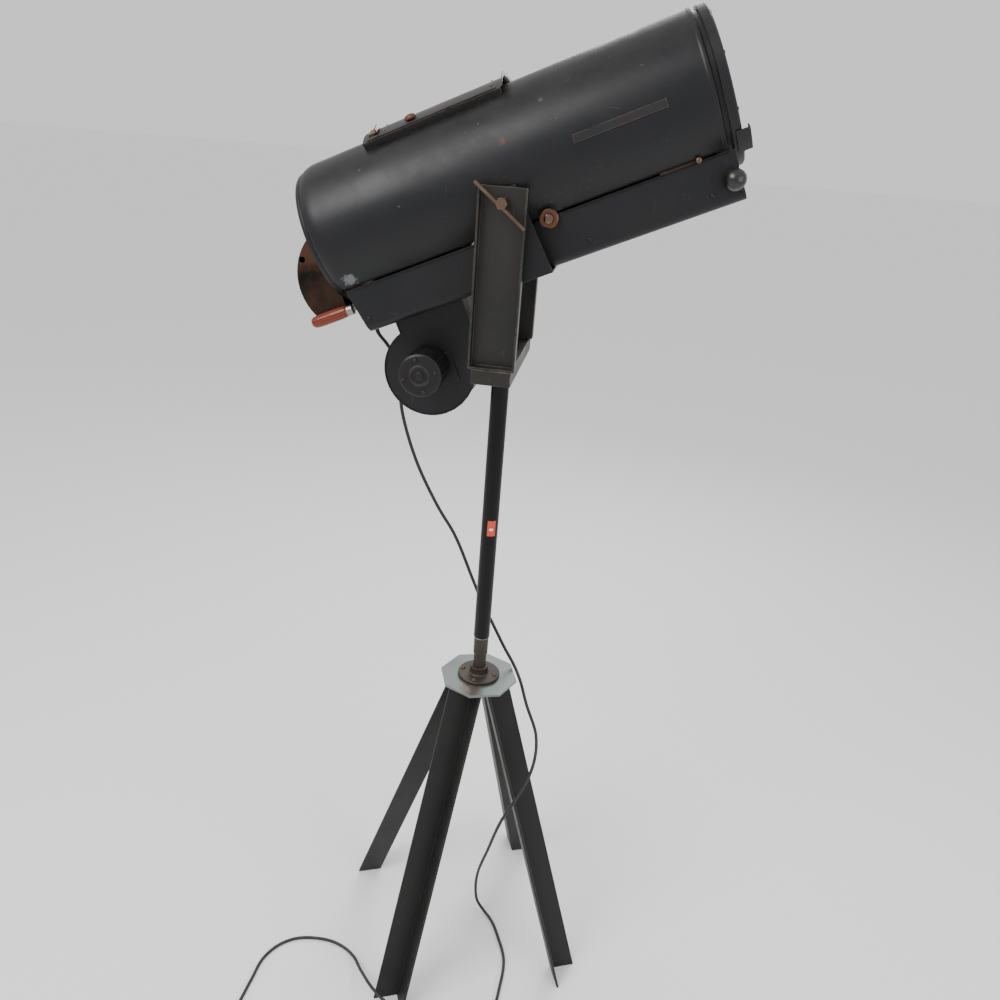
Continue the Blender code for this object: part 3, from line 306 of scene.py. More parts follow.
# %% Small helpers for node trees
def node(tree, kind, **settings):
    """Add a node and set its properties."""
    made = tree.nodes.new(kind)
    for key, value in settings.items():
        setattr(made, key, value)
    return made


def maths(tree, operation, a, b=None, clamp=False):
    """A Math node fed by sockets or numbers."""
    made = node(tree, "ShaderNodeMath", operation=operation, use_clamp=clamp)
    for slot, value in zip(made.inputs, (a, b)):
        if value is None:
            continue
        if isinstance(value, (int, float)):
            slot.default_value = value
        else:
            tree.links.new(value, slot)
    return made.outputs[0]


def blended(tree, share, a, b):
    """Mix two colours by a share."""
    made = node(tree, "ShaderNodeMix", data_type="RGBA")
    tree.links.new(share, made.inputs[0])
    for slot, value in ((made.inputs[6], a), (made.inputs[7], b)):
        if isinstance(value, tuple):
            slot.default_value = (*value, 1.0)
        else:
            tree.links.new(value, slot)
    return made.outputs[2]


def window(tree, value, low, high):
    """0 below low, 1 above high."""
    made = node(tree, "ShaderNodeMapRange", clamp=True)
    tree.links.new(value, made.inputs[0])
    made.inputs[1].default_value = low
    made.inputs[2].default_value = high
    return made.outputs[0]


def noise(tree, place, scale, detail=4.0, rough=0.6):
    """Noise at a place."""
    made = node(tree, "ShaderNodeTexNoise")
    tree.links.new(place, made.inputs["Vector"])
    made.inputs["Scale"].default_value = scale
    made.inputs["Detail"].default_value = detail
    made.inputs["Roughness"].default_value = rough
    return made.outputs["Fac"]


def stretched(tree, place, scale, turn):
    """The same place, turned and squeezed, for streaks."""
    made = node(tree, "ShaderNodeMapping")
    tree.links.new(place, made.inputs["Vector"])
    made.inputs["Scale"].default_value = scale
    made.inputs["Rotation"].default_value = turn
    return made.outputs[0]


print("node helpers ready")

# %% The worn finish group
worn = bpy.data.node_groups.new("worn_finish", "ShaderNodeTree")
for label, kind, value in (
    ("Colour", "NodeSocketColor", (0.03, 0.03, 0.03, 1)),
    ("Under", "NodeSocketColor", (0.3, 0.25, 0.2, 1)),
    ("Scratch", "NodeSocketColor", (0.3, 0.28, 0.26, 1)),
    ("Dust", "NodeSocketColor", (0.32, 0.30, 0.27, 1)),
    ("Edge wear", "NodeSocketFloat", 0.6),
    ("Scratches", "NodeSocketFloat", 0.5),
    ("Dustiness", "NodeSocketFloat", 0.3),
    ("Gloss", "NodeSocketFloat", 0.4),
    ("Mottle", "NodeSocketFloat", 0.3),
):
    socket = worn.interface.new_socket(name=label, in_out="INPUT", socket_type=kind)
    socket.default_value = value
for label, kind in (
    ("Colour", "NodeSocketColor"),
    ("Roughness", "NodeSocketFloat"),
    ("Bare metal", "NodeSocketFloat"),
    ("Height", "NodeSocketFloat"),
):
    worn.interface.new_socket(name=label, in_out="OUTPUT", socket_type=kind)
given = node(worn, "NodeGroupInput")
result = node(worn, "NodeGroupOutput")
place = node(worn, "ShaderNodeTexCoord").outputs["Object"]
true_face = node(worn, "ShaderNodeNewGeometry").outputs["Normal"]
rounded = node(worn, "ShaderNodeBevel", samples=6)
rounded.inputs["Radius"].default_value = 0.0022
match = node(worn, "ShaderNodeVectorMath", operation="DOT_PRODUCT")
worn.links.new(true_face, match.inputs[0])
worn.links.new(rounded.outputs[0], match.inputs[1])
edge = window(worn, maths(worn, "SUBTRACT", 1.0, match.outputs["Value"]), 0.01, 0.16)
rub = window(worn, noise(worn, place, 42.0, 6.0, 0.68), 0.40, 0.62)
rubbed = maths(worn, "MULTIPLY", maths(worn, "MULTIPLY", edge, rub), given.outputs["Edge wear"], True)
chips = window(worn, noise(worn, place, 60.0, 8.0, 0.72), 0.705, 0.725)
wide = window(worn, noise(worn, place, 5.0, 3.0), 0.50, 0.66)
chipped = maths(worn, "MULTIPLY", maths(worn, "MULTIPLY", chips, wide), given.outputs["Edge wear"], True)
bare = maths(worn, "MAXIMUM", rubbed, chipped)
streaks = []
for scale, turn, floor_level in (
    ((9, 260, 260), (0.3, 0.5, 0.2), 0.700),
    ((260, 14, 230), (0.9, 0.2, 1.1), 0.715),
    ((210, 230, 11), (0.2, 1.0, 0.6), 0.710),
):
    hairs = noise(worn, stretched(worn, place, scale, turn), 1.0, 2.0)
    streaks.append(window(worn, hairs, floor_level, floor_level + 0.05))
lines = maths(worn, "MAXIMUM", maths(worn, "MAXIMUM", streaks[0], streaks[1]), streaks[2])
patchy = window(worn, noise(worn, place, 9.0, 4.0), 0.46, 0.66)
scratched = maths(worn, "MULTIPLY", maths(worn, "MULTIPLY", lines, patchy), given.outputs["Scratches"], True)
upward = node(worn, "ShaderNodeSeparateXYZ")
worn.links.new(true_face, upward.inputs[0])
lifted = window(worn, upward.outputs["Z"], 0.15, 0.95)
settle = window(worn, noise(worn, place, 22.0, 6.0, 0.7), 0.35, 0.75)
dusty = maths(worn, "MULTIPLY", maths(worn, "MULTIPLY", lifted, settle), given.outputs["Dustiness"], True)
cloud = window(worn, noise(worn, place, 11.0, 5.0, 0.65), 0.32, 0.72)
shade = maths(worn, "MULTIPLY", cloud, given.outputs["Mottle"], True)
toned = blended(worn, shade, given.outputs["Colour"], given.outputs["Under"])
colour = blended(worn, scratched, toned, given.outputs["Scratch"])
colour = blended(worn, bare, colour, given.outputs["Under"])
colour = blended(worn, dusty, colour, given.outputs["Dust"])
worn.links.new(colour, result.inputs["Colour"])
fine = noise(worn, place, 130.0, 3.0)
uneven = maths(worn, "MULTIPLY_ADD", cloud, 0.16)
worn.nodes[-1].inputs[2].default_value = -0.08
rough = maths(worn, "ADD", given.outputs["Gloss"], uneven)
rough = maths(worn, "ADD", rough, maths(worn, "MULTIPLY", dusty, 0.5))
rough = maths(worn, "ADD", rough, maths(worn, "MULTIPLY", fine, 0.05), True)
worn.links.new(rough, result.inputs["Roughness"])
worn.links.new(maths(worn, "MULTIPLY", bare, 0.75), result.inputs["Bare metal"])
dents = maths(worn, "MULTIPLY", noise(worn, place, 7.0, 2.0), 0.55)
grain = maths(worn, "MULTIPLY", noise(worn, place, 420.0, 2.0), 0.05)
hollow = maths(worn, "MULTIPLY", maths(worn, "MAXIMUM", bare, scratched), -0.10)
worn.links.new(maths(worn, "ADD", maths(worn, "ADD", dents, grain), hollow), result.inputs["Height"])
print("worn finish nodes:", len(worn.nodes))

# %% [markdown]
# Each finish is a Principled shader fed by the group. Paints take their metal from the
# rubbed-through mask, so an edge looks like steel; bare metals are metal all over and set
# that on the shader itself.

# %% Make the finishes
FINISH = {}


def finish(
    name,
    colour,
    under,
    gloss,
    edge_wear=0.6,
    scratches=0.5,
    dust=0.25,
    mottle=0.15,
    metal=None,
    bump=0.12,
    scratch=None,
):
    """One worn material."""
    mat = bpy.data.materials.new(name)
    mat.use_nodes = True
    tree = mat.node_tree
    shader = tree.nodes["Principled BSDF"]
    group = node(tree, "ShaderNodeGroup", node_tree=worn)
    group.inputs["Colour"].default_value = (*colour, 1)
    group.inputs["Under"].default_value = (*under, 1)
    group.inputs["Scratch"].default_value = (*(scratch or under), 1)
    group.inputs["Edge wear"].default_value = edge_wear
    group.inputs["Scratches"].default_value = scratches
    group.inputs["Dustiness"].default_value = dust
    group.inputs["Gloss"].default_value = gloss
    group.inputs["Mottle"].default_value = mottle
    tree.links.new(group.outputs["Colour"], shader.inputs["Base Color"])
    tree.links.new(group.outputs["Roughness"], shader.inputs["Roughness"])
    if metal is None:
        tree.links.new(group.outputs["Bare metal"], shader.inputs["Metallic"])
    else:
        shader.inputs["Metallic"].default_value = metal
    relief_node = node(tree, "ShaderNodeBump")
    relief_node.inputs["Strength"].default_value = bump
    relief_node.inputs["Distance"].default_value = 0.004
    tree.links.new(group.outputs["Height"], relief_node.inputs["Height"])
    tree.links.new(relief_node.outputs[0], shader.inputs["Normal"])
    if metal is None:
        shader.inputs["Specular IOR Level"].default_value = 0.38
    FINISH[name] = mat


STEEL = (0.33, 0.29, 0.25)
COPPER = (0.13, 0.062, 0.038)
finish(
    "head_enamel",
    colour=(0.0062, 0.0065, 0.0078), under=(0.11, 0.070, 0.050),
    gloss=0.40, edge_wear=0.50, scratches=0.45, dust=0.05, mottle=0.010, scratch=(0.16, 0.13, 0.11),
)
finish(
    "lid_enamel",
    colour=(0.0085, 0.0085, 0.009), under=(0.17, 0.115, 0.085),
    gloss=0.42, edge_wear=0.9, scratches=0.5, dust=0.06, mottle=0.02,
)
finish(
    "yoke_enamel",
    colour=(0.0090, 0.0088, 0.0080), under=(0.30, 0.24, 0.18),
    gloss=0.40, edge_wear=0.9, scratches=0.5, dust=0.06, mottle=0.02,
)
finish(
    "pole_enamel",
    colour=(0.0035, 0.0035, 0.0040), under=(0.06, 0.05, 0.045),
    gloss=0.34, edge_wear=0.4, scratches=0.25, dust=0.03, mottle=0.02,
)
finish(
    "leg_enamel",
    colour=(0.0080, 0.0095, 0.0085), under=(0.12, 0.11, 0.095),
    gloss=0.50, edge_wear=0.7, scratches=0.4, dust=0.05, mottle=0.05,
)
finish(
    "plate_steel",
    colour=(0.115, 0.135, 0.128), under=(0.30, 0.33, 0.31),
    gloss=0.40, edge_wear=0.6, scratches=0.5, dust=0.08, mottle=0.45, metal=0.55,
)
finish(
    "cast_iron",
    colour=(0.030, 0.024, 0.020), under=(0.13, 0.10, 0.08),
    gloss=0.50, edge_wear=0.8, scratches=0.3, dust=0.08, mottle=0.35, metal=0.6, bump=0.3,
)
finish(
    "bare_steel",
    colour=STEEL, under=(0.18, 0.14, 0.11),
    gloss=0.36, edge_wear=0.4, scratches=0.5, dust=0.10, mottle=0.35, metal=1.0,
)
finish(
    "brown_steel",
    colour=(0.10, 0.062, 0.044), under=(0.26, 0.19, 0.14),
    gloss=0.46, edge_wear=0.7, scratches=0.5, dust=0.10, mottle=0.35, metal=0.85,
)
finish(
    "copper",
    colour=COPPER, under=(0.16, 0.08, 0.05),
    gloss=0.34, edge_wear=0.4, scratches=0.4, dust=0.08, mottle=0.40, metal=0.9,
)
finish(
    "chrome",
    colour=(0.16, 0.11, 0.09), under=(0.16, 0.11, 0.09),
    gloss=0.12, edge_wear=0.3, scratches=0.3, dust=0.05, mottle=0.15, metal=1.0, bump=0.03,
)
finish(
    "moulded_black",
    colour=(0.006, 0.006, 0.006), under=(0.04, 0.035, 0.03),
    gloss=0.28, edge_wear=0.5, scratches=0.3, dust=0.10, mottle=0.05, metal=0.0,
)
finish(
    "cord_rubber",
    colour=(0.006, 0.006, 0.006), under=(0.018, 0.017, 0.016),
    gloss=0.55, edge_wear=0.0, scratches=0.0, dust=0.15, mottle=0.30, metal=0.0, bump=0.06,
)
finish(
    "ceramic",
    colour=(0.66, 0.62, 0.54), under=(0.40, 0.34, 0.27),
    gloss=0.55, edge_wear=0.3, scratches=0.1, dust=0.10, mottle=0.25, metal=0.0,
)
finish(
    "silvered",
    colour=(0.74, 0.74, 0.73), under=(0.50, 0.49, 0.47),
    gloss=0.10, edge_wear=0.1, scratches=0.1, dust=0.05, mottle=0.10, metal=1.0, bump=0.02,
)
finish(
    "orange_tape",
    colour=(0.55, 0.055, 0.020), under=(0.45, 0.08, 0.04),
    gloss=0.45, edge_wear=0.3, scratches=0.2, dust=0.05, mottle=0.15, metal=0.0, bump=0.05,
)
finish(
    "white_tape",
    colour=(0.72, 0.71, 0.68), under=(0.50, 0.48, 0.44),
    gloss=0.45, edge_wear=0.3, scratches=0.2, dust=0.05, mottle=0.12, metal=0.0, bump=0.05,
)
for look, level in (("pole_enamel", 0.18), ("head_enamel", 0.30), ("leg_enamel", 0.28)):
    FINISH[look].node_tree.nodes["Principled BSDF"].inputs["Specular IOR Level"].default_value = level
print("finishes:", len(FINISH))

# %% [markdown]
# The wooden grip is stained red and varnished. Wood grain is bands that follow the length
# of the piece and waver, so a Wave texture with distortion colours it along the handle.

# %% Stained wood
wood = FINISH["head_enamel"].copy()
wood.name = "stained_wood"
tree = wood.node_tree
group = next(n for n in tree.nodes if n.type == "GROUP")
shader = tree.nodes["Principled BSDF"]
for link in list(shader.inputs["Metallic"].links):
    tree.links.remove(link)
shader.inputs["Metallic"].default_value = 0.0
shader.inputs["Coat Weight"].default_value = 0.15
group.inputs["Edge wear"].default_value = 0.3
group.inputs["Gloss"].default_value = 0.30
group.inputs["Under"].default_value = (0.20, 0.06, 0.02, 1)
where = node(tree, "ShaderNodeTexCoord").outputs["Object"]
lay = node(tree, "ShaderNodeMapping")
lay.inputs["Rotation"].default_value = (0, math.radians(HEAD_LIFT), 0)
tree.links.new(where, lay.inputs["Vector"])
bands = node(tree, "ShaderNodeTexWave", bands_direction="Z")
bands.inputs["Scale"].default_value = 60.0
bands.inputs["Distortion"].default_value = 5.0
bands.inputs["Detail"].default_value = 3.0
tree.links.new(lay.outputs[0], bands.inputs["Vector"])
tree.links.new(
    blended(tree, bands.outputs["Fac"], (0.20, 0.026, 0.005), (0.085, 0.011, 0.003)),
    group.inputs["Colour"],
)
FINISH["stained_wood"] = wood
print("wood nodes:", len(tree.nodes))

# %% [markdown]
# Lens glass is thick and slightly green, with dust on it. The dust is a change in
# roughness, and the tint sits on the shader's own colour.

# %% Glass
def glass(name, tint, rough, ior):
    """Clear glass with a dusty skin."""
    mat = bpy.data.materials.new(name)
    mat.use_nodes = True
    tree = mat.node_tree
    shader = tree.nodes["Principled BSDF"]
    shader.inputs["Base Color"].default_value = (*tint, 1)
    shader.inputs["Transmission Weight"].default_value = 0.9
    shader.inputs["IOR"].default_value = ior
    shader.inputs["Metallic"].default_value = 0.0
    spots = noise(tree, node(tree, "ShaderNodeTexCoord").outputs["Object"], 35.0, 6.0)
    dull = maths(tree, "MULTIPLY", window(tree, spots, 0.45, 0.75), rough)
    tree.links.new(dull, shader.inputs["Roughness"])
    return mat


FINISH["lens_glass"] = glass("lens_glass", (0.86, 0.92, 0.90), 0.22, 1.5)
FINISH["bulb_glass"] = glass("bulb_glass", (0.95, 0.95, 0.93), 0.10, 1.45)
print("glasses ready")

# %% [markdown]
# Some marks sit at known places: a rust-red rub on the barrel's side, pale chips at the lower back corner, a
# brown stain on the top plate, and painted shade over the lower part of the rear cover that leaves a copper
# sheen on its upper part. Each is a soft ball of influence around a point, broken up with noise, and it
# changes the colour that goes into the shared group.

# %% Marks at a place
def mark(mat, place, radius, colour, rag=0.35, scale=70.0, strength=1.0):
    """Tint the group's paint colour near a point of the row frame."""
    tree = mat.node_tree
    group = next(n for n in tree.nodes if n.type == "GROUP")
    socket = group.inputs["Colour"]
    here = node(tree, "ShaderNodeTexCoord").outputs["Object"]
    away = node(tree, "ShaderNodeVectorMath", operation="DISTANCE")
    tree.links.new(here, away.inputs[0])
    away.inputs[1].default_value = place
    near = maths(tree, "SUBTRACT", 1.0, maths(tree, "DIVIDE", away.outputs["Value"], radius), True)
    broken = maths(tree, "ADD", near, maths(tree, "MULTIPLY", noise(tree, here, scale, 6.0, 0.7), rag))
    share = maths(tree, "MULTIPLY", window(tree, broken, 0.42 + rag * 0.55, 0.50 + rag * 0.60), strength)
    before = socket.links[0].from_socket if socket.links else tuple(socket.default_value)[:3]
    tree.links.new(blended(tree, share, before, colour), socket)


def on_barrel(radius, arc, u):
    """Row-frame point on the barrel; the arc runs from the top towards the near side."""
    a = math.radians(arc)
    return HEAD @ Vector((u, -radius * math.sin(a), BARREL_RISE + radius * math.cos(a)))


FINISH["barrel_enamel"] = FINISH["head_enamel"].copy()
FINISH["barrel_enamel"].name = "barrel_enamel"
SKIN_R = 0.1226
for arc, u, radius, tint, rag, scale, strength in (
    (72, 0.026, 0.012, (0.085, 0.018, 0.012), 1.6, 260.0, 0.6),
    (50, -0.211, 0.005, (0.12, 0.08, 0.06), 1.5, 300.0, 0.5),
    (88, -0.163, 0.004, (0.12, 0.10, 0.08), 1.5, 300.0, 0.5),
    (53, 0.099, 0.008, (0.09, 0.075, 0.065), 1.5, 300.0, 0.5),
    (128, -0.296, 0.026, (0.40, 0.43, 0.44), 1.6, 190.0, 0.30),
):
    mark(FINISH["barrel_enamel"], on_barrel(SKIN_R, arc, u), radius, tint, rag, scale, strength)
mark(FINISH["plate_steel"], (-0.010, -0.058, 0.7166), 0.040, (0.10, 0.055, 0.030), 0.5, 40.0, 0.8)
FINISH["cover_finish"] = FINISH["copper"].copy()
FINISH["cover_finish"].name = "cover_finish"
cover_group = next(n for n in FINISH["cover_finish"].node_tree.nodes if n.type == "GROUP")
cover_group.inputs["Colour"].default_value = (0.070, 0.034, 0.022, 1)
# Painted shade: a dark patch over the lower, near part of the rear cover, so its copper colour shows only
# higher up as a sheen.
cover_shade_at = HEAD @ Vector((-0.372, -0.055, -0.062))
mark(FINISH["cover_finish"], cover_shade_at, 0.150, (0.012, 0.010, 0.009), 0.35, 25.0)
print("marks placed")

# %% [markdown]
# The solid pieces now get their finishes. They arrive as loose flat triangles, which would
# show as facets on rolled sheet, so each one is copied, its corners are welded, flat areas
# are joined, and face-weighted normals shade the curves smoothly. The copy is drawn in the
# piece's place. Where a piece has folded or machined edges a small Bevel rounds them, so
# that they catch the light as real edges do. The plug stays as it is, since the cord's row
# names it.

# %% Dress the solid pieces
DRESS = {
    "barrel_enamel": ["barrel_shell"],
    "head_enamel": ["rear_cap", "tray", "cradle", "front_bezel", "gel_clip_near", "gel_clip_far"]
    + ["blower_housing", "motor_body", "motor_cap", "motor_bracket"],
    "lid_enamel": ["hatch_lid", "trim_ornament"],
    "yoke_enamel": ["yoke_cross_member", "yoke_arm_near", "yoke_arm_far"],
    "pole_enamel": ["pole_sleeve"],
    "leg_enamel": ["leg_1", "leg_2", "leg_3", "leg_4"],
    "plate_steel": ["base_plate"],
    "cast_iron": ["floor_flange", "pipe_coupling", "nipple_pipe", "shutter_blade"],
    "bare_steel": ["bearing_ring", "rail_near", "rail_far", "handle_ferrule", "hatch_hinge", "impeller"]
    + ["plug_prong_1", "plug_prong_2"],
    "brown_steel": ["tilt_bolt_far", "tilt_washer_near", "tilt_washer_far"]
    + ["tilt_clamp_handle", "lens_carriage"]
    + ["flange_screw_1", "flange_screw_2", "flange_screw_3", "flange_screw_4"],
    "cover_finish": ["rear_cover"],
    "copper": ["switch_bezel", "hatch_knob"],
    "chrome": ["switch_button"],
    "moulded_black": ["shutter_knob", "cord_gland", "plug_body"],
    "stained_wood": ["handle_grip"],
    "ceramic": ["lamp_socket"],
    "silvered": ["reflector"],
    "lens_glass": ["front_lens", "carriage_lens"],
    "bulb_glass": ["lamp_bulb"],
}


def wear(ob, look):
    """Give an object one finish."""
    ob.data.materials.clear()
    ob.data.materials.append(FINISH[look])


BODIES = frame["record"]["behaviour"]["bodies"]
BODY_OF = {name: body for body, names in BODIES.items() for name in names}
SOFT_EDGES = {
    "leg_1": 0.0009,
    "leg_2": 0.0009,
    "leg_3": 0.0009,
    "leg_4": 0.0009,
    "yoke_cross_member": 0.0005,
    "yoke_arm_near": 0.0005,
    "yoke_arm_far": 0.0005,
    "base_plate": 0.0005,
    "cradle": 0.0005,
    "motor_bracket": 0.0004,
    "floor_flange": 0.0005,
}


def skin(name, look):
    """A welded, smoothly shaded copy of a solid piece, drawn in its place."""
    source = nodes[name]
    bm = bmesh.new()
    bm.from_mesh(source.data)
    bm.transform(source.matrix_world)
    bmesh.ops.remove_doubles(bm, verts=bm.verts[:], dist=1e-5)
    flat_enough = math.radians(0.3)
    bmesh.ops.dissolve_limit(bm, angle_limit=flat_enough, verts=bm.verts[:], edges=bm.edges[:])
    mesh = bpy.data.meshes.new(name + "_skin")
    bm.to_mesh(mesh)
    bm.free()
    mesh.shade_smooth()
    mesh.set_sharp_from_angle(angle=math.radians(32))
    ob = bpy.data.objects.new(name + "_skin", mesh)
    bpy.context.scene.collection.objects.link(ob)
    if name in SOFT_EDGES:
        soft = ob.modifiers.new("soft edges", "BEVEL")
        soft.width = SOFT_EDGES[name]
        soft.segments = 2
        soft.limit_method = "ANGLE"
        soft.angle_limit = math.radians(45)
    even = ob.modifiers.new("even shading", "WEIGHTED_NORMAL")
    even.keep_sharp = True
    wear(ob, look)
    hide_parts(name)
    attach(ob, BODY_OF[name])
    return ob


dressed = 0
for look, names in DRESS.items():
    for name in names:
        if name.startswith("plug"):
            wear(nodes[name], look)
        else:
            skin(name, look)
        dressed += 1
for ob in (upper_cord, lower_cord, relief):
    wear(ob, "cord_rubber")
print("dressed", dressed, "solid pieces")

# %% [markdown]
# The small pieces that a maker adds last are drawn in the head's own axes: forward,
# sideways and up. Three helpers cover them: a lathe for round pieces, a box with broken
# edges, and a bead that follows a line.

# %% Helpers for small pieces
NEAR = Matrix(((1, 0, 0, 0), (0, 0, -1, 0), (0, 1, 0, 0), (0, 0, 0, 1)))
FAR = Matrix(((1, 0, 0, 0), (0, 0, 1, 0), (0, -1, 0, 0), (0, 0, 0, 1)))
FORWARD = Matrix(((0, 0, 1, 0), (0, 1, 0, 0), (-1, 0, 0, 0), (0, 0, 0, 1)))


def settle_piece(name, bm, body, look, angle=35):
    """Turn a bmesh in the row frame into a piece that rides on a body."""
    bmesh.ops.recalc_face_normals(bm, faces=bm.faces[:])
    mesh = bpy.data.meshes.new(name)
    bm.to_mesh(mesh)
    bm.free()
    mesh.shade_smooth()
    mesh.set_sharp_from_angle(angle=math.radians(angle))
    ob = bpy.data.objects.new(name, mesh)
    bpy.context.scene.collection.objects.link(ob)
    wear(ob, look)
    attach(ob, body)
    return ob


def lathe(profile, steps, matrix):
    """Turn a profile of (radius, height) round its axis into a bmesh."""
    bm = bmesh.new()
    verts = [bm.verts.new((r, 0, z)) for r, z in profile]
    edges = [bm.edges.new(pair) for pair in zip(verts, verts[1:])]
    if min(r for r, z in profile) > 0:
        edges.append(bm.edges.new((verts[-1], verts[0])))
    bmesh.ops.spin(
        bm,
        geom=verts + edges,
        cent=(0, 0, 0),
        axis=(0, 0, 1),
        angle=math.tau,
        steps=steps,
        use_merge=True,
    )
    bmesh.ops.remove_doubles(bm, verts=bm.verts[:], dist=1e-6)
    bm.transform(matrix)
    return bm


def together(parts):
    """Several bmeshes as one."""
    bm = bmesh.new()
    for part in parts:
        mesh = bpy.data.meshes.new("part")
        part.to_mesh(mesh)
        part.free()
        bm.from_mesh(mesh)
        bpy.data.meshes.remove(mesh)
    return bm


def brick(low, high, matrix=HEAD, edge=0.0004):
    """A box between two corners with broken edges."""
    bm = bmesh.new()
    bmesh.ops.create_cube(bm, size=1.0)
    bmesh.ops.scale(bm, vec=[b - a for a, b in zip(low, high)], verts=bm.verts)
    bmesh.ops.translate(bm, vec=[(a + b) / 2 for a, b in zip(low, high)], verts=bm.verts)
    bmesh.ops.bevel(bm, geom=bm.edges[:], offset=edge, segments=2, affect="EDGES", profile=0.5)
    bm.transform(matrix)
    return bm


def pan_head(radius, height):
    """Profile of a pan-head screw."""
    shape = [(0, 1), (0.55, 0.96), (0.88, 0.62), (1, 0.2), (1, 0), (0, 0)]
    return [(radius * across, height * along) for across, along in shape]


print("piece helpers ready")

# %% [markdown]
# Screws hold the tray's floor pan to its walls, four on each side, and eight small ones
# hold the lens ring. They are low pan heads, turned on the lathe helper and set against the
# sheet with a hair of clearance.

# %% Screws on the head
for side, turn in (("near", NEAR), ("far", FAR)):
    sign = -1 if side == "near" else 1
    heads = []
    for u in (-0.294, -0.0938, 0.1068, 0.3074):
        matrix = HEAD @ Matrix.Translation((u, sign * 0.0862, -0.1005)) @ turn
        heads.append(lathe(pan_head(0.0042, 0.0024), 16, matrix))
    settle_piece(f"tray_screws_{side}", together(heads), "head", "head_enamel")
BEZEL_R = 0.1153
rivets = []
for arc in (-150, -110, -70, -30, 30, 70, 110, 150):
    a = math.radians(arc)
    spot = Vector((0.3702, -BEZEL_R * math.sin(a), BARREL_RISE + BEZEL_R * math.cos(a)))
    rivets.append(lathe(pan_head(0.0028, 0.0016), 12, HEAD @ Matrix.Translation(spot) @ FORWARD))
settle_piece("bezel_screws", together(rivets), "head", "brown_steel")
print("screws made")

# %% [markdown]
# A rolled lip runs along both sides where the barrel laps the tray, and on the near side it stops short of
# the switch. It is drawn in the darkest enamel as painted shade for the gap at that join. A wired edge goes
# round both cheeks of the blower. A bead is a thin round tube along the edge's own line.

# %% Rolled lips in painted shade, and wired edges
def head_line(points):
    """Points in head axes, in the row frame."""
    return [HEAD @ Vector(p) for p in points]


for side, sign, start, stop in (
    ("near_rear", -1, -0.300, 0.032),
    ("near_front", -1, 0.080, 0.345),
    ("far", 1, -0.300, 0.345),
):
    line = head_line([(start + (stop - start) * k / 3, sign * 0.0870, -0.0468) for k in range(4)])
    bead = tube(f"tray_lip_{side}", line, 0.0010, ring=2)
    # The darkest enamel on the lip is painted shade for the gap where the barrel meets the tray.
    wear(bead, "pole_enamel")
    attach(bead, "head")
SCROLL = (-0.2464, -0.2295)
SCROLL_R = 0.0843
DUCT_REAR, DUCT_FRONT, DUCT_TOP = -0.272, -0.142, -0.128
outline = [(DUCT_REAR, DUCT_TOP)]
entry = math.degrees(math.acos((DUCT_REAR - SCROLL[0]) / SCROLL_R))
for k in range(25):
    a = math.radians(entry + (270 - entry) * k / 24)
    outline.append((SCROLL[0] + SCROLL_R * math.cos(a), SCROLL[1] + SCROLL_R * math.sin(a)))
lip = (DUCT_FRONT - SCROLL[0], -0.185 - SCROLL[1])
last_turn = math.degrees(math.atan2(lip[1], lip[0]))
reach = math.hypot(*lip)
for k in range(1, 10):
    a = math.radians(-90 + (last_turn + 90) * k / 9)
    r = SCROLL_R + (reach - SCROLL_R) * (k / 9) ** 4
    outline.append((SCROLL[0] + r * math.cos(a), SCROLL[1] + r * math.sin(a)))
outline.append((DUCT_FRONT, DUCT_TOP))
for side, w in (("near", -0.0212), ("far", 0.0512)):
    line = head_line([(u, w, n) for u, n in outline])
    bead = tube(f"blower_edge_{side}", line, 0.0011, ring=2)
    wear(bead, "lid_enamel")
    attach(bead, "head")
print("beads made")

# %% [markdown]
# The fan motor has a raised ring and four through-bolts on its end cap, and ribs run
# round its body. The blower's intake on the far side is covered by a wire guard.

# %% Motor cap and intake guard
FAN = (-0.242, -0.220)
cap_bits = [
    lathe(
        [(0.0150, 0.1046), (0.0180, 0.1050), (0.0195, 0.1032), (0.0140, 0.1032)],
        32,
        HEAD @ Matrix.Translation((FAN[0], 0, FAN[1])) @ NEAR,
    )
]
for k in range(4):
    a = math.radians(83 + 90 * k)
    spot = (FAN[0] + 0.0295 * math.cos(a), -0.1032, FAN[1] + 0.0295 * math.sin(a))
    cap_bits.append(lathe(pan_head(0.0035, 0.0024), 14, HEAD @ Matrix.Translation(spot) @ NEAR))
settle_piece("motor_cap_bolts", together(cap_bits), "head", "lid_enamel")
ribs = []
for k in range(18):
    a = math.tau * k / 18
    spin = Matrix.Translation((FAN[0], 0, FAN[1])) @ Matrix.Rotation(a, 4, "Y")
    ribs.append(brick((0.0376, -0.090, -0.0012), (0.0386, -0.040, 0.0012), HEAD @ spin, 0.0003))
settle_piece("motor_ribs", together(ribs), "head", "head_enamel")
guard = []
for r in (0.013, 0.026, 0.040):
    ring_line = []
    for k in range(37):
        a = math.tau * k / 36
        ring_line.append(HEAD @ Vector((FAN[0] + r * math.cos(a), 0.0525, FAN[1] + r * math.sin(a))))
    guard.append(ring_line)
for k in range(3):
    a = math.pi * k / 3
    d = Vector((math.cos(a), 0, math.sin(a))) * 0.046
    centre = Vector((FAN[0], 0.0545, FAN[1]))
    guard.append([HEAD @ (centre - d), HEAD @ centre, HEAD @ (centre + d)])
for k, line in enumerate(guard):
    wire = tube(f"intake_guard_{k}", line, 0.0010, ring=1)
    wear(wire, "bare_steel")
    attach(wire, "head")
print("guard wires:", len(guard))

# %% [markdown]
# The lid over the lamp has a stiffening strap near its free edge, rivets, and a bent latch
# tongue of browned metal. They ride on the lid, so they open with it.

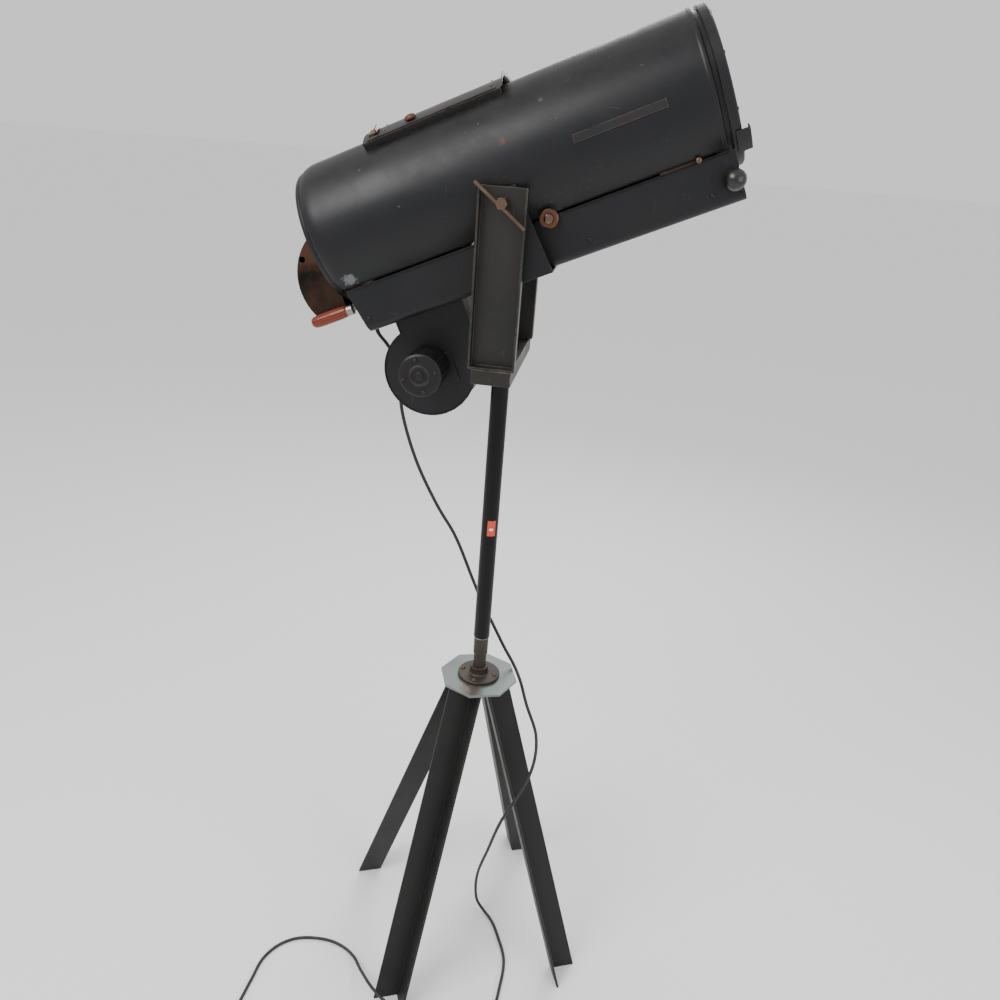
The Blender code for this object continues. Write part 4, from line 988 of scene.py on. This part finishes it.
# %% Lid furniture
def lid_strip(u_low, u_high, arc_low, arc_high, low, high, steps=6):
    """A curved strip on the lid between two arcs."""
    bm = bmesh.new()
    start = math.radians(arc_low + 180)
    verts = [
        bm.verts.new((r * math.cos(start), r * math.sin(start), u))
        for r, u in ((low, u_low), (high, u_low), (high, u_high), (low, u_high))
    ]
    face = bm.faces.new(verts)
    sweep = math.radians(arc_high - arc_low)
    bmesh.ops.spin(bm, geom=[face], cent=(0, 0, 0), axis=(0, 0, 1), angle=sweep, steps=steps)
    bm.transform(HEAD @ Matrix.Translation((0, 0, BARREL_RISE)) @ FORWARD)
    return bm


LID_TOP = 0.1339
strap = [lid_strip(-0.190, 0.036, 27.0, 29.6, LID_TOP, LID_TOP + 0.0012, 2)]
strap += [lid_strip(-0.1895, -0.1775, -26.0, 26.0, LID_TOP, LID_TOP + 0.0012, 12)]
settle_piece("lid_strap", together(strap), "hatch", "lid_enamel")
latch = [
    lid_strip(-0.187, -0.172, 6.0, 24.0, LID_TOP + 0.0014, LID_TOP + 0.0028, 4),
    lid_strip(-0.174, -0.1715, 14.0, 24.0, LID_TOP + 0.0028, LID_TOP + 0.0085, 3),
]
settle_piece("lid_latch", together(latch), "hatch", "copper")
studs = []
for arc in (-22, -8, 8, 22):
    for u in (-0.160, 0.028):
        a = math.radians(arc)
        spot = Vector((u, -LID_TOP * math.sin(a), BARREL_RISE + LID_TOP * math.cos(a)))
        standing = HEAD @ Matrix.Translation(spot) @ Matrix.Rotation(a, 4, "X")
        studs.append(lathe(pan_head(0.0022, 0.0012), 10, standing))
settle_piece("lid_rivets", together(studs), "hatch", "brown_steel")
print("lid furniture made")

# %% [markdown]
# The yoke is welded: a bead of weld lies in each corner between the arms and the cross
# member, round the top of the pole, and where each leg meets the plate. A weld is a bead
# whose width and position wander a little, so each point gets its own share of the radius.

# %% Weld beads
shaker = random.Random(7)


def weld(name, ends, radius, body, look, steps=22):
    """An uneven bead between two points."""
    a, b = Vector(ends[0]), Vector(ends[1])
    line = []
    shares = []
    for k in range(steps + 1):
        wander = Vector([shaker.uniform(-1, 1) * radius * 0.08 for _ in range(3)])
        line.append(a.lerp(b, k / steps) + wander)
        shares.append(0.86 + 0.14 * math.sin(k * 1.9) + shaker.uniform(-0.08, 0.08))
    bead = tube(name, line, radius, shares, ring=2)
    wear(bead, look)
    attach(bead, body)


for side, sign in (("near", -1), ("far", 1)):
    for word, off, height, radius in (("in", 0.1255, 1.4222, 0.0018), ("out", 0.1478, 1.4205, 0.0009)):
        ends = ((-0.031, sign * off, height), (0.033, sign * off, height))
        weld(f"yoke_weld_{side}_{word}", ends, radius, "yoke", "yoke_enamel")
COLLAR_R = 0.0182
collar = []
collar_shares = []
for k in range(41):
    a = k * math.tau / 40
    collar.append(Vector((COLLAR_R * math.cos(a), COLLAR_R * math.sin(a), 1.4152)))
    collar_shares.append(0.9 + 0.12 * math.sin(k * 2.1))
bead = tube("pole_weld", collar, 0.0022, collar_shares, ring=2)
wear(bead, "yoke_enamel")
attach(bead, "yoke")
for number, azimuth in enumerate((67.2, 157.2, 247.2, 337.2), 1):
    a = math.radians(azimuth)
    heel = Vector((math.cos(a), math.sin(a), 0)) * 0.0062
    for word, swing in (("left", math.pi / 4), ("right", -math.pi / 4)):
        along = Vector((math.cos(a + swing), math.sin(a + swing), 0))
        inside = Vector((math.cos(a - swing), math.sin(a - swing), 0)) * 0.0058
        base = heel + inside + Vector((0, 0, 0.7098))
        ends = (base + along * 0.008, base + along * 0.054)
        weld(f"leg_weld_{number}_{word}", ends, 0.0016, "stand", "leg_enamel", 16)
print("welds made")

# %% [markdown]
# A bit of orange tape with a pale strip is stuck round the near side of the pole. It is a
# thin curved patch that stands a hair off the pipe.

# %% Tape on the pole
def pole_patch(name, low_z, high_z, start, end, look, radius=0.0170):
    """A thin curved patch round the pole between two azimuths in degrees."""
    bm = bmesh.new()
    a = math.radians(start)
    outer = radius + 0.0003
    verts = [
        bm.verts.new((r * math.cos(a), r * math.sin(a), z))
        for r, z in ((radius, low_z), (outer, low_z), (outer, high_z), (radius, high_z))
    ]
    face = bm.faces.new(verts)
    sweep = math.radians(end - start)
    bmesh.ops.spin(bm, geom=[face], cent=(0, 0, 0), axis=(0, 0, 1), angle=sweep, steps=12)
    settle_piece(name, bm, "yoke", look)


pole_patch("tape_orange", 1.054, 1.087, 262, 318, "orange_tape")
pole_patch("tape_pale", 1.066, 1.071, 276, 300, "white_tape", 0.0174)
print("tape made")

# %% [markdown]
# Through the lens and the lid's gaps the lamp shows its filament on two stiff wires. It is
# a wound wire: a point that goes round while it moves along.

# %% Filament
WIND_R = 0.0030
coil_line = []
for k in range(97):
    a = k * math.tau / 12
    spot = (-0.110 + WIND_R * math.cos(a), -0.012 + 0.024 * k / 96, 0.046 + WIND_R * math.sin(a))
    coil_line.append(HEAD @ Vector(spot))
filament = tube("filament", coil_line, 0.0005, ring=1)
wear(filament, "bare_steel")
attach(filament, "head")
for k, w in enumerate((-0.012, 0.012)):
    line = head_line([(-0.110, w * 0.5, -0.066), (-0.110, w, -0.02), (-0.107, w, 0.046)])
    wire = tube(f"filament_wire_{k}", line, 0.0007, ring=1)
    wear(wire, "bare_steel")
    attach(wire, "head")
print("filament made")
